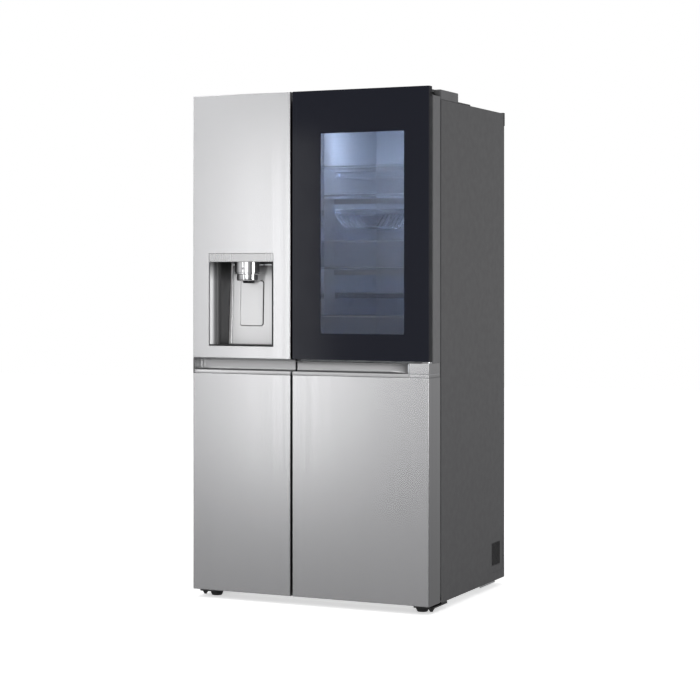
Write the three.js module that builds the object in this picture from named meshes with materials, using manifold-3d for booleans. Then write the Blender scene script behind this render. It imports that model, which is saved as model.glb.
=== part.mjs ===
// A side-by-side refrigerator: freezer door with an ice and water dispenser on the left,
// and on the right a fridge door that carries a second, glass-fronted door over a bay of bins.
// Millimetres. +X is to the right, the doors face -Y, +Z is up, and Z = 0 is the floor.
import * as THREE from "three";
import { mergeVertices } from "three/addons/utils/BufferGeometryUtils.js";
import Module from "manifold-3d";

const wasm = await Module();
wasm.setup();

// ---- driving dimensions ----
const width = 913;
const depth = 735;
const height = 1790;
const gap = 0.3; // clearance between pieces that touch
const sheet = 1.5; // steel sheet
const round = 40; // segments of a full circle

const front = -depth / 2;
const side = width / 2;
const doorDepth = 100;
const doorRear = front + doorDepth;
const cabinetFront = doorRear + 9;
const cabinetRear = depth / 2 - 3.5;
const cabinetBottom = 26;
const cabinetTop = 1753;
const doorBottom = 29.4;
const doorRearTop = 1761; // the rear of each door is lower, to pass under the hinge arm

// door edges at the middle of the cabinet
const freezerEdge = -67.4;
const fridgeEdge = -59.4;

// each main door turns about a pin set in from the side and back from the front
const hingeX = side - 22;
const hingeY = front + 53.5;
const pinRadius = 6;
const pinBore = 6.4;

// the grip channel runs across both doors under the upper panels
const gripBottom = 801;
const gripLip = 814;
const gripTop = 856;
const gripDepth = 42;

// cold compartments: inside faces
const freezerLeft = -408;
const freezerRight = -89;
const fridgeLeft = -38;
const fridgeRight = 408;
const cavityFloor = 95;
const cavityTop = 1700;
const cavityRear = 300;
const ledgeFront = 100; // the floor steps up over the machine compartment
const ledgeTop = 240;
const linerWall = 2.2;
const shelfFront = -150;
const drawerFront = -158;
const dykeBottom = 104;

const machineFront = 150;
const machineTop = 190;

// covers over the top hinges
const coverFront = front + 62;
const coverRear = front + 271;
const coverTop = height - 3;
const coverInner = 322;

// outer glass door and the bay behind it
const outerDepth = 34;
const outerRear = front + outerDepth;
const outerBottom = 857;
const outerHingeX = side - 10;
const outerHingeY = front + 25;
const outerPin = 4;
const bayFront = front + 38;
const bayRear = front + 196;
const bayLeft = 12;
const bayRight = 370;
const bayBottom = 885;
const bayTop = 1682;
const dykeWall = 10;

// dispenser opening in the freezer door
const dispenserLeft = -392.5;
const dispenserRight = -133.6;
const dispenserBottom = 898.8;
const dispenserTop = 1227.8;
const dispenserBar = 1196.7; // underside of the flush bar over the recess
const dispenserX = (dispenserLeft + dispenserRight) / 2 + 2;

// ---- materials ----
function material(color, roughness, metalness) {
  return new THREE.MeshStandardMaterial({ color, roughness, metalness });
}
const steel = () => material(0xc9cacc, 0.35, 0.9);
const greySteel = () => material(0x5a5a5c, 0.5, 0.4);
const zinc = () => material(0x9a9da0, 0.45, 0.8);
const chrome = () => material(0xe6e7e8, 0.12, 1);
const blackPlastic = () => material(0x1a1b1c, 0.55, 0);
const darkPlastic = () => material(0x5c5c5e, 0.5, 0);
const greyPlastic = () => material(0x8d8f92, 0.5, 0);
const whitePlastic = () => material(0xeef1f4, 0.4, 0);
const clearPlastic = () => material(0xd6e2ea, 0.15, 0);
const rubber = () => material(0x6d6f72, 0.8, 0);
const foam = () => material(0xd8c9a0, 0.9, 0);
const blackGlass = () => material(0x101113, 0.08, 0.1);
const blackPaint = () => material(0x151515, 0.45, 0.2);

// ---- geometry helpers ----
function block(low, high) {
  const size = high.map((v, i) => v - low[i]);
  const middle = high.map((v, i) => (v + low[i]) / 2);
  return new THREE.BoxGeometry(...size).translate(...middle);
}

function roundedOutline(x0, y0, x1, y1, radius) {
  const s = new THREE.Shape();
  s.moveTo(x0 + radius, y0);
  s.lineTo(x1 - radius, y0);
  s.absarc(x1 - radius, y0 + radius, radius, -Math.PI / 2, 0);
  s.lineTo(x1, y1 - radius);
  s.absarc(x1 - radius, y1 - radius, radius, 0, Math.PI / 2);
  s.lineTo(x0 + radius, y1);
  s.absarc(x0 + radius, y1 - radius, radius, Math.PI / 2, Math.PI);
  s.lineTo(x0, y0 + radius);
  s.absarc(x0 + radius, y0 + radius, radius, Math.PI, 1.5 * Math.PI);
  return s;
}

function outline(points) {
  return new THREE.Shape(points.map(([a, b]) => new THREE.Vector2(a, b)));
}

const turnAlongX = new THREE.Matrix4().makeBasis(
  new THREE.Vector3(0, 1, 0),
  new THREE.Vector3(0, 0, 1),
  new THREE.Vector3(1, 0, 0),
);

// Extrusions of an outline: up Z, back along Y (outline in X and Z), or along X (outline in Y and Z).
function alongZ(shape, z0, z1, curveSegments = 6) {
  const made = new THREE.ExtrudeGeometry(shape, { depth: z1 - z0, bevelEnabled: false, curveSegments });
  return made.translate(0, 0, z0);
}
function alongY(shape, y0, y1, curveSegments = 6) {
  const made = new THREE.ExtrudeGeometry(shape, { depth: y1 - y0, bevelEnabled: false, curveSegments });
  return made.rotateX(Math.PI / 2).translate(0, y1, 0);
}
function alongX(shape, x0, x1, curveSegments = 6) {
  const made = new THREE.ExtrudeGeometry(shape, { depth: x1 - x0, bevelEnabled: false, curveSegments });
  return made.applyMatrix4(turnAlongX).translate(x0, 0, 0);
}

function rodZ(x, y, z0, z1, radius, segments = round / 2) {
  return new THREE.CylinderGeometry(radius, radius, z1 - z0, segments)
    .rotateX(Math.PI / 2)
    .translate(x, y, (z0 + z1) / 2);
}
function rodX(x0, x1, y, z, radius, segments = round / 2) {
  return new THREE.CylinderGeometry(radius, radius, x1 - x0, segments)
    .rotateZ(Math.PI / 2)
    .translate((x0 + x1) / 2, y, z);
}
function rodY(x, y0, y1, z, radius, segments = round / 2) {
  return new THREE.CylinderGeometry(radius, radius, y1 - y0, segments).translate(x, (y0 + y1) / 2, z);
}

function solid(geometry) {
  const bare = geometry.clone();
  bare.deleteAttribute("normal");
  bare.deleteAttribute("uv");
  const merged = mergeVertices(bare, 1e-4);
  return new wasm.Manifold(
    new wasm.Mesh({
      numProp: 3,
      vertProperties: merged.attributes.position.array,
      triVerts: new Uint32Array(merged.index.array),
    }),
  );
}

function geometryOf(made) {
  const mesh = made.getMesh();
  const geometry = new THREE.BufferGeometry();
  geometry.setAttribute("position", new THREE.BufferAttribute(mesh.vertProperties, mesh.numProp));
  geometry.setIndex(new THREE.BufferAttribute(mesh.triVerts, 1));
  const flat = geometry.toNonIndexed();
  flat.computeVertexNormals();
  return flat;
}

function join(...geometries) {
  return geometryOf(geometries.map(solid).reduce((a, b) => a.add(b)));
}
function cut(geometry, ...tools) {
  return geometryOf(tools.map(solid).reduce((a, b) => a.subtract(b), solid(geometry)));
}

// A tray open at the top, with rounded corners in plan.
function tray(low, high, wall, corner) {
  const shell = alongZ(roundedOutline(low[0], low[1], high[0], high[1], corner), low[2], high[2], 2);
  const inner = Math.max(corner - wall, 0.5);
  const hollow = roundedOutline(low[0] + wall, low[1] + wall, high[0] - wall, high[1] - wall, inner);
  return cut(shell, alongZ(hollow, low[2] + wall, high[2] + 5, 2));
}

const refrigerator = new THREE.Group();

function place(parent, name, geometry, look, position = [0, 0, 0]) {
  const mesh = new THREE.Mesh(geometry, look);
  mesh.name = name;
  mesh.position.set(...position);
  parent.add(mesh);
  return mesh;
}

// ---- cabinet ----
const grilleLow = [232.5, 83];
const grilleHigh = [316.5, 167];

// The compartment's side view, grown outwards by a wall, with its mouth at mouthY.
function cavitySection(wall, mouthY) {
  return outline([
    [mouthY, cavityFloor - wall],
    [ledgeFront + wall, cavityFloor - wall],
    [ledgeFront + wall, ledgeTop - wall],
    [cavityRear + wall, ledgeTop - wall],
    [cavityRear + wall, cavityTop + wall],
    [mouthY, cavityTop + wall],
  ]);
}

// The rear cap folds round the case's two upper rear corners, in place of its sheet there.
const capBottom = 1707;
const capWrap = 12;
function outerCase() {
  const wrap = block([-side, cabinetFront, cabinetBottom], [side, cabinetRear, cabinetTop]);
  const inside = block(
    [-side + sheet, cabinetFront + sheet, cabinetBottom - 5],
    [side - sheet, cabinetRear + 5, cabinetTop - sheet],
  );
  const lip = linerWall + gap;
  const mouth = (x0, x1) =>
    block([x0 - lip, cabinetFront - 5, cavityFloor - lip], [x1 + lip, cabinetFront + 5, cavityTop + lip]);
  const kick = block([-side + sheet, cabinetFront - 5, 0], [side - sheet, cabinetFront + 5, 52]);
  const vent = block(
    [side - 5, grilleLow[0] - gap, grilleLow[1] - gap],
    [side + 5, grilleHigh[0] + gap, grilleHigh[1] + gap],
  );
  const mouths = [mouth(freezerLeft, freezerRight), mouth(fridgeLeft, fridgeRight)];
  const hollow = cut(wrap, inside, ...mouths, kick, vent);
  const raisedStrip = block(
    [-side + 1, coverRear + 2, cabinetTop - 0.5],
    [side - 1, coverRear + 117, cabinetTop + 4],
  );
  const capRoom = (x) =>
    block(
      [x - sheet, cabinetRear - capWrap - gap, capBottom - gap],
      [x + sheet, cabinetRear + 5, cabinetTop + 5],
    );
  return cut(join(hollow, raisedStrip), capRoom(-side), capRoom(side));
}

function cabinetFoam() {
  const back = cabinetRear - sheet - gap;
  const edge = side - sheet - gap;
  const body = block(
    [-edge, cabinetFront + sheet + gap, 52 + gap],
    [edge, back, cabinetTop - sheet - gap],
  );
  const room = linerWall + gap;
  const hollow = (x0, x1) => alongX(cavitySection(room, cabinetFront - 5), x0 - room, x1 + room);
  const machine = block([-side, machineFront, 0], [side, depth, machineTop]);
  return cut(body, hollow(freezerLeft, freezerRight), hollow(fridgeLeft, fridgeRight), machine);
}

// A liner with a rail on each wall under everything that rests or slides in it.
function liner(x0, x1, rails) {
  const shell = alongX(cavitySection(linerWall, cabinetFront + gap), x0 - linerWall, x1 + linerWall);
  const hollow = alongX(cavitySection(0, cabinetFront - 5), x0, x1);
  const railHeight = 8;
  const bars = [];
  for (const [top, leftReach, rightReach, end] of rails) {
    const from = shelfFront + 14;
    bars.push(block([x0 - 1, from, top - railHeight], [x0 + leftReach, end, top]));
    bars.push(block([x1 - rightReach, from, top - railHeight], [x1 + 1, end, top]));
  }
  return join(cut(shell, hollow), ...bars);
}

function rearPanel() {
  const edge = side - sheet - gap;
  const panel = block(
    [-edge, cabinetRear - sheet, machineTop + gap],
    [edge, cabinetRear, cabinetTop - sheet - gap],
  );
  const ribs = [];
  for (const x of [-300, -100, 100, 300]) {
    ribs.push(block([x - 12, cabinetRear - 1, 300], [x + 12, cabinetRear + 1.2, 1640]));
  }
  return join(panel, ...ribs);
}

function machineCover() {
  const edge = side - sheet - gap;
  const panel = block([-edge, cabinetRear - 2, 30], [edge, cabinetRear, machineTop - gap]);
  const slots = [];
  for (const x0 of [-400, -230, 120, 290]) {
    for (let z = 64; z < 170; z += 28) {
      slots.push(block([x0, cabinetRear - 5, z], [x0 + 110, cabinetRear + 5, z + 10]));
    }
  }
  const gland = block([-24, cabinetRear - 5, 84], [24, cabinetRear + 5, 126]);
  return cut(panel, gland, ...slots);
}

// Steel base: a front tray, side rails, the machine floor and the ears that hold the rear rollers.
const rollerX = 381;
const rollerY = 300;
const rollerRadius = 22;
const rollerWidth = 20;
const axleRadius = 4;
function baseFrame() {
  const edge = side - sheet - gap;
  const rear = cabinetRear - 2 - gap;
  const plate = block([-edge, cabinetFront + sheet + gap, 30], [edge, rear, 33]);
  const pieces = [plate];
  for (const s of [-1, 1]) {
    const rail = s * (edge - 22);
    pieces.push(block([rail - 6, cabinetFront + 20, 32], [rail + 6, rear - 4, 52]));
    for (const offset of [-rollerWidth / 2 - 3.5, rollerWidth / 2 + 0.5]) {
      const x = s * rollerX + offset;
      pieces.push(block([x, rollerY - 18, rollerRadius - 8], [x + 3, rollerY + 18, 32]));
    }
    const skirt = s * (edge - 2.5);
    pieces.push(block([skirt - 1.5, front + 490, 20], [skirt + 1.5, front + 638, 32]));
    const reach = rollerWidth / 2 + 3.5;
    pieces.push(rodX(s * rollerX - reach, s * rollerX + reach, rollerY, rollerRadius, axleRadius));
  }
  pieces.push(block([-edge + 20, cabinetFront + 4, 32], [edge - 20, cabinetFront + 16, 52]));
  const made = join(...pieces);
  const wheelRoom = (s) =>
    block(
      [s * rollerX - rollerWidth / 2 - 0.5, rollerY - rollerRadius - 3, rollerRadius + 6],
      [s * rollerX + rollerWidth / 2 + 0.5, rollerY + rollerRadius + 3, 40],
    );
  return cut(made, wheelRoom(-1), wheelRoom(1));
}

function roller() {
  const half = rollerWidth / 2;
  const bore = axleRadius + 0.4;
  const profile = [
    [bore, -half],
    [rollerRadius - 2, -half],
    [rollerRadius, -half + 2],
    [rollerRadius, half - 2],
    [rollerRadius - 2, half],
    [bore, half],
    [bore, -half],
  ].map(([r, y]) => new THREE.Vector2(r, y));
  return new THREE.LatheGeometry(profile, 24).rotateZ(Math.PI / 2);
}

// Levelling foot: a disc that narrows to its sole, on a threaded stem screwed into the bottom hinge.
const footX = 401;
const footY = front + 76;
const plateBottom = 16.7;
const plateTop = 21.7;
function foot() {
  const profile = [
    [0, 0],
    [17, 0],
    [18.4, 1.5],
    [20.4, 6],
    [22.4, 9],
    [22.4, 14.6],
    [21, 15.6],
    [6, 16.2],
    [6, 28],
    [0, 28],
  ].map(([r, y]) => new THREE.Vector2(r, y));
  return new THREE.LatheGeometry(profile, 24).rotateX(Math.PI / 2);
}

// Plate under the cabinet's front corner: the door's lower pin, the foot's threaded hole and a stop tab.
const plateInner = 380;
const stopTabX = 440;
const stopTabSetBack = 20;
function bottomHinge(s) {
  const inner = s * plateInner;
  const outer = s * (side - 3);
  const low = Math.min(inner, outer);
  const high = Math.max(inner, outer);
  const plateFront = hingeY - 14;
  const outlineOfPlate = roundedOutline(low, plateFront, high, cabinetFront + 70, 8);
  const plate = alongZ(outlineOfPlate, plateBottom, plateTop, 3);
  const spacer = block(
    [low, cabinetFront + 12, plateTop - 1],
    [high, cabinetFront + 60, 30 - gap],
  );
  const pin = rodZ(s * hingeX, hingeY, plateTop - 1, 48, pinRadius);
  const collar = rodZ(s * hingeX, hingeY, plateTop - 1, doorBottom - 0.6, 11);
  const tabX = s * stopTabX;
  const tabFront = plateFront + stopTabSetBack;
  const tab = outline([
    [tabX - 4, 3],
    [tabX + 4, 3],
    [tabX + 13, plateBottom + 1],
    [tabX - 13, plateBottom + 1],
  ]);
  const hole = rodZ(s * footX, footY, 10, 35, 6 + gap);
  return cut(join(plate, spacer, pin, collar, alongY(tab, tabFront, tabFront + 3)), hole);
}

// Arm on the cabinet's top that reaches over the door and holds its upper pin.
const armBottom = doorRearTop + 1;
function topHinge(s) {
  const thick = 3.5;
  const inner = s * (hingeX - 30);
  const outer = s * (hingeX - 12);
  const low = Math.min(inner, outer);
  const high = Math.max(inner, outer);
  const bottom = cabinetTop + gap;
  const base = block([low - 5, cabinetFront + 10, bottom], [high + 5, -110, bottom + thick]);
  const riser = block([low, cabinetFront + 8, bottom], [high, cabinetFront + 14, armBottom + thick]);
  const arm = block([low, hingeY - 10, armBottom], [high, cabinetFront + 12, armBottom + thick]);
  const eye = rodZ(s * hingeX, hingeY, armBottom, armBottom + thick, 12);
  const web = block(
    [Math.min(s * hingeX, s * (hingeX - 20)), hingeY - 10, armBottom],
    [Math.max(s * hingeX, s * (hingeX - 20)), hingeY + 6, armBottom + thick],
  );
  const pin = rodZ(s * hingeX, hingeY, doorRearTop - 22, armBottom + 2, pinRadius);
  return join(base, riser, arm, eye, web, pin);
}

// The cover is as wide as the cabinet behind its front, and narrower where it reaches over the door.
function hingeCover(s) {
  const wall = 2.5;
  const [noseLow, noseHigh] = [s * coverInner, s * (hingeX - 2)].sort((a, b) => a - b);
  const [low, high] = [s * coverInner, s * (side - 1)].sort((a, b) => a - b);
  const nose = outline([
    [coverFront, armBottom + 8],
    [cabinetFront + 4, armBottom + 8],
    [cabinetFront + 4, coverTop],
    [coverFront + 3, coverTop],
    [coverFront, coverTop - 3],
  ]);
  const body = outline([
    [cabinetFront + 1, cabinetTop + gap],
    [coverRear, cabinetTop + gap],
    [coverRear, coverTop - 10],
    [coverRear - 8, coverTop],
    [cabinetFront + 1, coverTop],
  ]);
  const hollow = outline([
    [cabinetFront + 5, cabinetTop - 5],
    [coverRear - 3, cabinetTop - 5],
    [coverRear - 3, coverTop - 11],
    [coverRear - 9, coverTop - 3],
    [cabinetFront + 5, coverTop - 3],
  ]);
  const armRoom = block(
    [noseLow + wall, cabinetFront - 5, cabinetTop - 5],
    [noseHigh - wall, cabinetFront + 20, armBottom + 8],
  );
  const shell = join(alongX(nose, noseLow, noseHigh), alongX(body, low, high));
  return cut(shell, alongX(hollow, low + wall, high - wall), armRoom);
}

function sideVentGrille() {
  const plate = block(
    [side - 4, grilleLow[0], grilleLow[1]],
    [side - 0.2, grilleHigh[0], grilleHigh[1]],
  );
  const slots = [];
  for (let z = grilleLow[1] + 8; z < grilleHigh[1] - 8; z += 12) {
    slots.push(block([side - 9, grilleLow[0] + 6, z], [side + 5, grilleHigh[0] - 6, z + 6]));
  }
  return cut(plate, ...slots);
}

function compressor() {
  const profile = [
    [0, 0],
    [62, 0],
    [74, 12],
    [78, 45],
    [74, 74],
    [58, 92],
    [30, 102],
    [0, 105],
  ].map(([r, z]) => new THREE.Vector2(r, z));
  const shell = new THREE.LatheGeometry(profile, 24).rotateX(Math.PI / 2).translate(0, 0, 14);
  const feet = alongZ(roundedOutline(-90, -60, 90, 60, 20), 0, 16, 3);
  const pipe = rodZ(40, 48, 60, 128, 5, 12);
  return join(shell, feet, pipe);
}

// Fan beside the compressor: a hub with five pitched blades on a bar that carries its motor.
const fanX = 150;
const fanY = 250;
const fanZ = 108;
const machineFloor = 33 + gap;
function fanRotor() {
  const pieces = [rodX(-8, 10, 0, 0, 22, 24)];
  const blades = 5;
  for (let i = 0; i < blades; i++) {
    const blade = new THREE.BoxGeometry(2.5, 34, 42).rotateZ(0.5).translate(0, 0, 40);
    blade.rotateX((i * 2 * Math.PI) / blades);
    pieces.push(blade);
  }
  return cut(join(...pieces), rodX(-20, 4, 0, 0, 3.4, 16));
}
function condenser() {
  // folded coil of tube with fins, in front of the fan, and the bracket that carries the fan motor
  const pieces = [block([-80, -55, 0], [-20, 55, 4])];
  for (let i = 0; i < 6; i++) {
    const x = -76 + i * 10;
    pieces.push(block([x, -50, 3], [x + 1.5, 50, 108]));
  }
  for (const z of [30, 82]) pieces.push(rodX(-82, -18, 0, z, 5, 8));
  pieces.push(block([-22, -18, 3], [-18, 18, 110]));
  pieces.push(rodX(-19, 26, 0, fanZ - machineFloor, 3, 12));
  return join(...pieces);
}

// ---- shelves and drawers ----
function glassShelf(x0, x1) {
  const frontRail = block([x0, shelfFront, -20], [x1, shelfFront + 12, 4]);
  const rearRail = block([x0, cavityRear - 22, -6], [x1, cavityRear - 10, 10]);
  const glass = block([x0, shelfFront + 6, -4], [x1, cavityRear - 14, 0]);
  return join(frontRail, rearRail, glass);
}

function wineRack() {
  const points = [
    [0, 0],
    [22, -34],
    [44, -46],
    [150, -46],
    [172, -34],
    [194, 0],
  ].map(([x, z]) => new THREE.Vector3(x, 0, z));
  const path = new THREE.CatmullRomCurve3(points, false, "centripetal");
  const wireRadius = 2.2;
  const wire = new THREE.Shape();
  wire.absarc(0, 0, wireRadius, 0, 2 * Math.PI);
  const hoop = () =>
    new THREE.ExtrudeGeometry(wire, { steps: 14, curveSegments: 3, bevelEnabled: false, extrudePath: path });
  const pieces = [];
  for (const y of [0, 70, 140, 210]) pieces.push(hoop().translate(0, y, 0));
  pieces.push(rodY(97, -4, 214, -46, 2.6, 8));
  pieces.push(block([-4, -4, -4], [4, 214, 3]));
  pieces.push(block([190, -4, -4], [198, 214, 3]));
  return join(...pieces);
}

function drawer(x0, x1, z0, z1, back) {
  const box = tray([x0, drawerFront, z0], [x1, back, z1], 3, 12);
  const lip = block([x0 + 20, drawerFront - 8, z1 - 16], [x1 - 20, drawerFront + 2, z1 - 4]);
  return join(box, lip);
}

function doorBin(x0, x1, z0, z1, y0, y1) {
  return tray([x0, y0, z0], [x1, y1, z1], 2.5, 14);
}

// ---- doors ----
// Side view of a door's rear and front heights, used for skins and cores.
function freezerDoorSection(inset) {
  const step = front + 38;
  return outline([
    [front + inset, doorBottom],
    [doorRear, doorBottom],
    [doorRear, doorRearTop],
    [step, doorRearTop],
    [step, height],
    [front + inset, height],
  ]);
}

function freezerDoorSkin() {
  const x0 = -side;
  const x1 = freezerEdge;
  const body = alongX(freezerDoorSection(0), x0, x1);
  const inside = block([x0 + sheet, front + sheet, 0], [x1 - sheet, depth, height + 5]);
  const grip = block([x0 - 5, front - 5, gripBottom], [x1 + 5, front + gripDepth, gripTop]);
  const hatch = block(
    [dispenserLeft, front - 5, dispenserBottom],
    [dispenserRight, front + 5, dispenserTop],
  );
  return cut(body, inside, grip, hatch);
}

// Ring-shaped wall on the inside of a door that the bins hang between.
function dyke(x0, z0, x1, z1, rear) {
  const ring = alongY(roundedOutline(x0, z0, x1, z1, 16), doorRear - 2, rear, 3);
  const hollow = roundedOutline(x0 + dykeWall, z0 + dykeWall, x1 - dykeWall, z1 - dykeWall, 8);
  return cut(ring, alongY(hollow, doorRear - 5, rear + 5, 3));
}

const housingRear = front + 106;
const freezerDyke = [-392, dykeBottom, -110, 1690];
function freezerDoorLiner() {
  const room = sheet + gap;
  const x0 = -side + room;
  const x1 = freezerEdge - room;
  const core = alongX(freezerDoorSection(room), x0, x1);
  const wall = dyke(...freezerDyke, doorRear + 40);
  const bulge = block(
    [dispenserLeft + 6, doorRear - 4, dispenserBottom - 10],
    [dispenserRight - 6, housingRear + 14, dispenserTop + 12],
  );
  const grip = block([-side - 5, front - 5, gripBottom], [0, front + gripDepth + gap, gripTop]);
  const housingRoom = block(
    [dispenserLeft, front - 5, dispenserBottom],
    [dispenserRight, front + 80, dispenserTop],
  );
  const pocketRoom = block(
    [dispenserLeft + 12, front, dispenserBottom + 6],
    [dispenserRight - 12, housingRear + gap, dispenserTop - 6],
  );
  const upper = rodZ(-hingeX, hingeY, doorRearTop - 24, height, pinBore);
  const lower = rodZ(-hingeX, hingeY, 0, 50, pinBore);
  return cut(join(core, wall, bulge), grip, housingRoom, pocketRoom, upper, lower);
}

function gasket(x0, z0, x1, z1, y0, y1, wide) {
  const ring = alongY(roundedOutline(x0, z0, x1, z1, 6), y0, y1, 3);
  const hollow = roundedOutline(x0 + wide, z0 + wide, x1 - wide, z1 - wide, 3);
  return cut(ring, alongY(hollow, y0 - 5, y1 + 5, 3));
}

// Pull channel: a flush lip below, and a hollow that the fingers reach up and behind.
function gripSection() {
  const rear = front + gripDepth - gap;
  return outline([
    [front, gripBottom + gap],
    [rear, gripBottom + gap],
    [rear, gripTop - gap],
    [front + 8, gripTop - gap],
    [front + 8, gripTop - 3],
    [rear - 10, gripTop - 3],
    [rear - 3, gripTop - 12],
    [rear - 3, gripLip + 8],
    [rear - 14, gripLip - 2],
    [front + 4, gripLip],
    [front, gripLip - 2],
  ]);
}

// The channel is open at the middle of the refrigerator and closed at the door's outer side.
function freezerGripChannel() {
  const channel = alongX(gripSection(), -side, freezerEdge);
  const endWall = block(
    [-side, front, gripBottom + gap],
    [-side + 6, front + gripDepth - gap, gripTop - gap],
  );
  return join(channel, endWall);
}

// Curved plan of the dispenser's recess: its left side rolls in from the front face.
function recessPlan(depthBack) {
  const roll = 36;
  const left = dispenserLeft + 4;
  const s = new THREE.Shape();
  s.moveTo(left, front - 6);
  s.lineTo(left, front);
  s.absarc(left, front + roll, roll, -Math.PI / 2, 0, false);
  s.lineTo(left + roll + 4, front + depthBack);
  s.lineTo(dispenserRight - 4, front + depthBack);
  s.lineTo(dispenserRight - 4, front - 6);
  return s;
}

const paddleLeft = -301;
const paddleRight = -211;
const paddleBottom = 971;
const paddleTop = 1136;
const paddleFront = front + 80;
const trayLeft = dispenserLeft + 46;
const trayRight = dispenserRight - 6;
const trayFront = front + 8;
const trayRear = front + 76;
const trayBottom = dispenserBottom + 1.8;
const trayTop = dispenserBottom + 6.2;
function dispenserHousing() {
  const shell = block(
    [dispenserLeft + gap, front, dispenserBottom + gap],
    [dispenserRight - gap, front + 80 - gap, dispenserTop - gap],
  );
  const rear = block(
    [dispenserLeft + 12 + gap, front + 70, dispenserBottom + 6 + gap],
    [dispenserRight - 12 - gap, housingRear, dispenserTop - 6 - gap],
  );
  const recess = alongZ(recessPlan(78), dispenserBottom + 6, dispenserBar, 8);
  const pocket = alongY(
    roundedOutline(paddleLeft - 1.5, paddleBottom - 4, paddleRight + 1.5, paddleTop + 2, 9),
    front + 60,
    front + 102,
    4,
  );
  const headRoom = block(
    [dispenserX - 54, front + 30, 1110],
    [dispenserX + 54, front + 100, dispenserBar + gap],
  );
  const trayRoom = block(
    [trayLeft - gap, trayFront - gap, trayBottom - gap],
    [trayRight + gap, trayRear + gap, trayTop + gap],
  );
  return cut(join(shell, rear), recess, pocket, headRoom, trayRoom);
}

const headY = front + 60;
const headRadius = 52;
const lowerHeadRadius = 45;
const headStep = 1156;
const headBottom = 1130;
const buttonX = [-14, 0, 14];
const buttonZ = 1174;
const buttonRadius = 4;
function dispenserHead() {
  const upper = rodZ(dispenserX, headY, headStep, dispenserBar - gap, headRadius, round);
  const lower = rodZ(dispenserX, headY, headBottom, headStep + 1, lowerHeadRadius, round);
  const back = block([dispenserX - 48, headY, 1142], [dispenserX + 48, headY + 34, dispenserBar - gap]);
  const chute = rodZ(dispenserX, headY - 4, 1100, 1150, 22, 24);
  const paddleRoom = block([dispenserX - 60, paddleFront - 4, 1100], [dispenserX + 60, 0, 1141]);
  const holes = buttonX.map((x) =>
    rodY(dispenserX + x, headY - headRadius - 5, headY - headRadius + 14, buttonZ, buttonRadius + 0.3, 16),
  );
  const limit = block([dispenserX - 80, headY - 80, 1100], [dispenserX + 80, headY + 34, dispenserBar - gap]);
  const trimmed = geometryOf(solid(join(upper, lower, back)).intersect(solid(limit)));
  return cut(trimmed, chute, paddleRoom, ...holes);
}

function dispenserNozzle() {
  const tube = [
    [14, 0],
    [19, 0],
    [21.6, 8],
    [21.6, 22],
    [17, 22],
    [14, 6],
    [14, 0],
  ].map(([r, y]) => new THREE.Vector2(r, y));
  return new THREE.LatheGeometry(tube, 24).rotateX(Math.PI / 2);
}

function dispenserPaddle() {
  const plate = alongY(
    roundedOutline(paddleLeft, paddleBottom, paddleRight, paddleTop - 8, 8),
    paddleFront,
    paddleFront + 4,
    5,
  );
  const knuckle = rodX(paddleLeft + 4, paddleRight - 4, paddleFront + 4, paddleTop - 6, 4, 16);
  return join(plate, knuckle);
}

function dripTray() {
  const plan = roundedOutline(trayLeft, trayFront, trayRight, trayRear, 5);
  const plate = alongZ(plan, trayBottom, trayTop, 3);
  const slots = [];
  for (let x = trayLeft + 12; x < trayRight - 16; x += 16) {
    slots.push(block([x, trayFront + 8, trayBottom + 1.6], [x + 8, trayRear - 8, trayTop + 5]));
  }
  return cut(plate, ...slots);
}

function fridgeDoorSection(inset) {
  return outline([
    [front + inset, doorBottom],
    [doorRear, doorBottom],
    [doorRear, doorRearTop],
    [bayFront, doorRearTop],
    [bayFront, gripTop - 5],
    [front + inset, gripTop - 5],
  ]);
}

// The grip ends short of the hinge side in a sweep, where the door's corner block is solid.
const gripSweepStart = 290;
const gripEnd = 384;
function fridgeGripPlan(grow) {
  const s = new THREE.Shape();
  s.moveTo(fridgeEdge - 5, front - 5);
  s.lineTo(gripEnd + grow, front - 5);
  s.lineTo(gripEnd + grow, front);
  s.quadraticCurveTo(gripEnd - 20 + grow, front + gripDepth + grow, gripSweepStart, front + gripDepth + grow);
  s.lineTo(fridgeEdge - 5, front + gripDepth + grow);
  return s;
}

function fridgeDoorSkin() {
  const body = alongX(fridgeDoorSection(0), fridgeEdge, side);
  const inside = block([fridgeEdge + sheet, front + sheet, 0], [side - sheet, depth, gripTop - 5 - sheet]);
  const upper = block([fridgeEdge + sheet, bayFront - 5, gripTop - 20], [side - sheet, depth, height]);
  const grip = alongZ(fridgeGripPlan(0), gripBottom, gripTop + 5, 8);
  return cut(body, inside, upper, grip);
}

const fridgeDyke = [bayLeft - dykeWall, bayBottom - dykeWall, bayRight + dykeWall, bayTop + dykeWall];
const binFloors = [1424, 1172, 905];
function fridgeDoorLiner() {
  const room = sheet + gap;
  const lowerCore = block(
    [fridgeEdge + room, front + room, doorBottom],
    [side - room, doorRear, gripTop - 5 - room],
  );
  const upperCore = block(
    [fridgeEdge + room, bayFront, gripTop - 30],
    [side - room, doorRear, doorRearTop],
  );
  const bayWall = alongY(
    roundedOutline(...fridgeDyke, 16),
    doorRear - 2,
    bayRear,
    3,
  );
  const lowerWall = dyke(bayLeft - dykeWall, dykeBottom, bayRight + dykeWall, 830, doorRear + 40);
  const bay = alongY(roundedOutline(bayLeft, bayBottom, bayRight, bayTop, 10), front, bayRear + 5, 3);
  const grip = alongZ(fridgeGripPlan(gap), gripBottom, gripTop + 5, 8);
  const upper = rodZ(hingeX, hingeY, doorRearTop - 24, height, pinBore);
  const lower = rodZ(hingeX, hingeY, 0, 50, pinBore);
  const bars = binFloors.slice(0, 2).map((z) =>
    block([bayLeft - 2, bayRear - 8, z - 22], [bayRight + 2, bayRear, z - 4]),
  );
  const made = cut(join(lowerCore, upperCore, bayWall, lowerWall), bay, grip, upper, lower);
  return join(made, ...bars);
}

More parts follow.
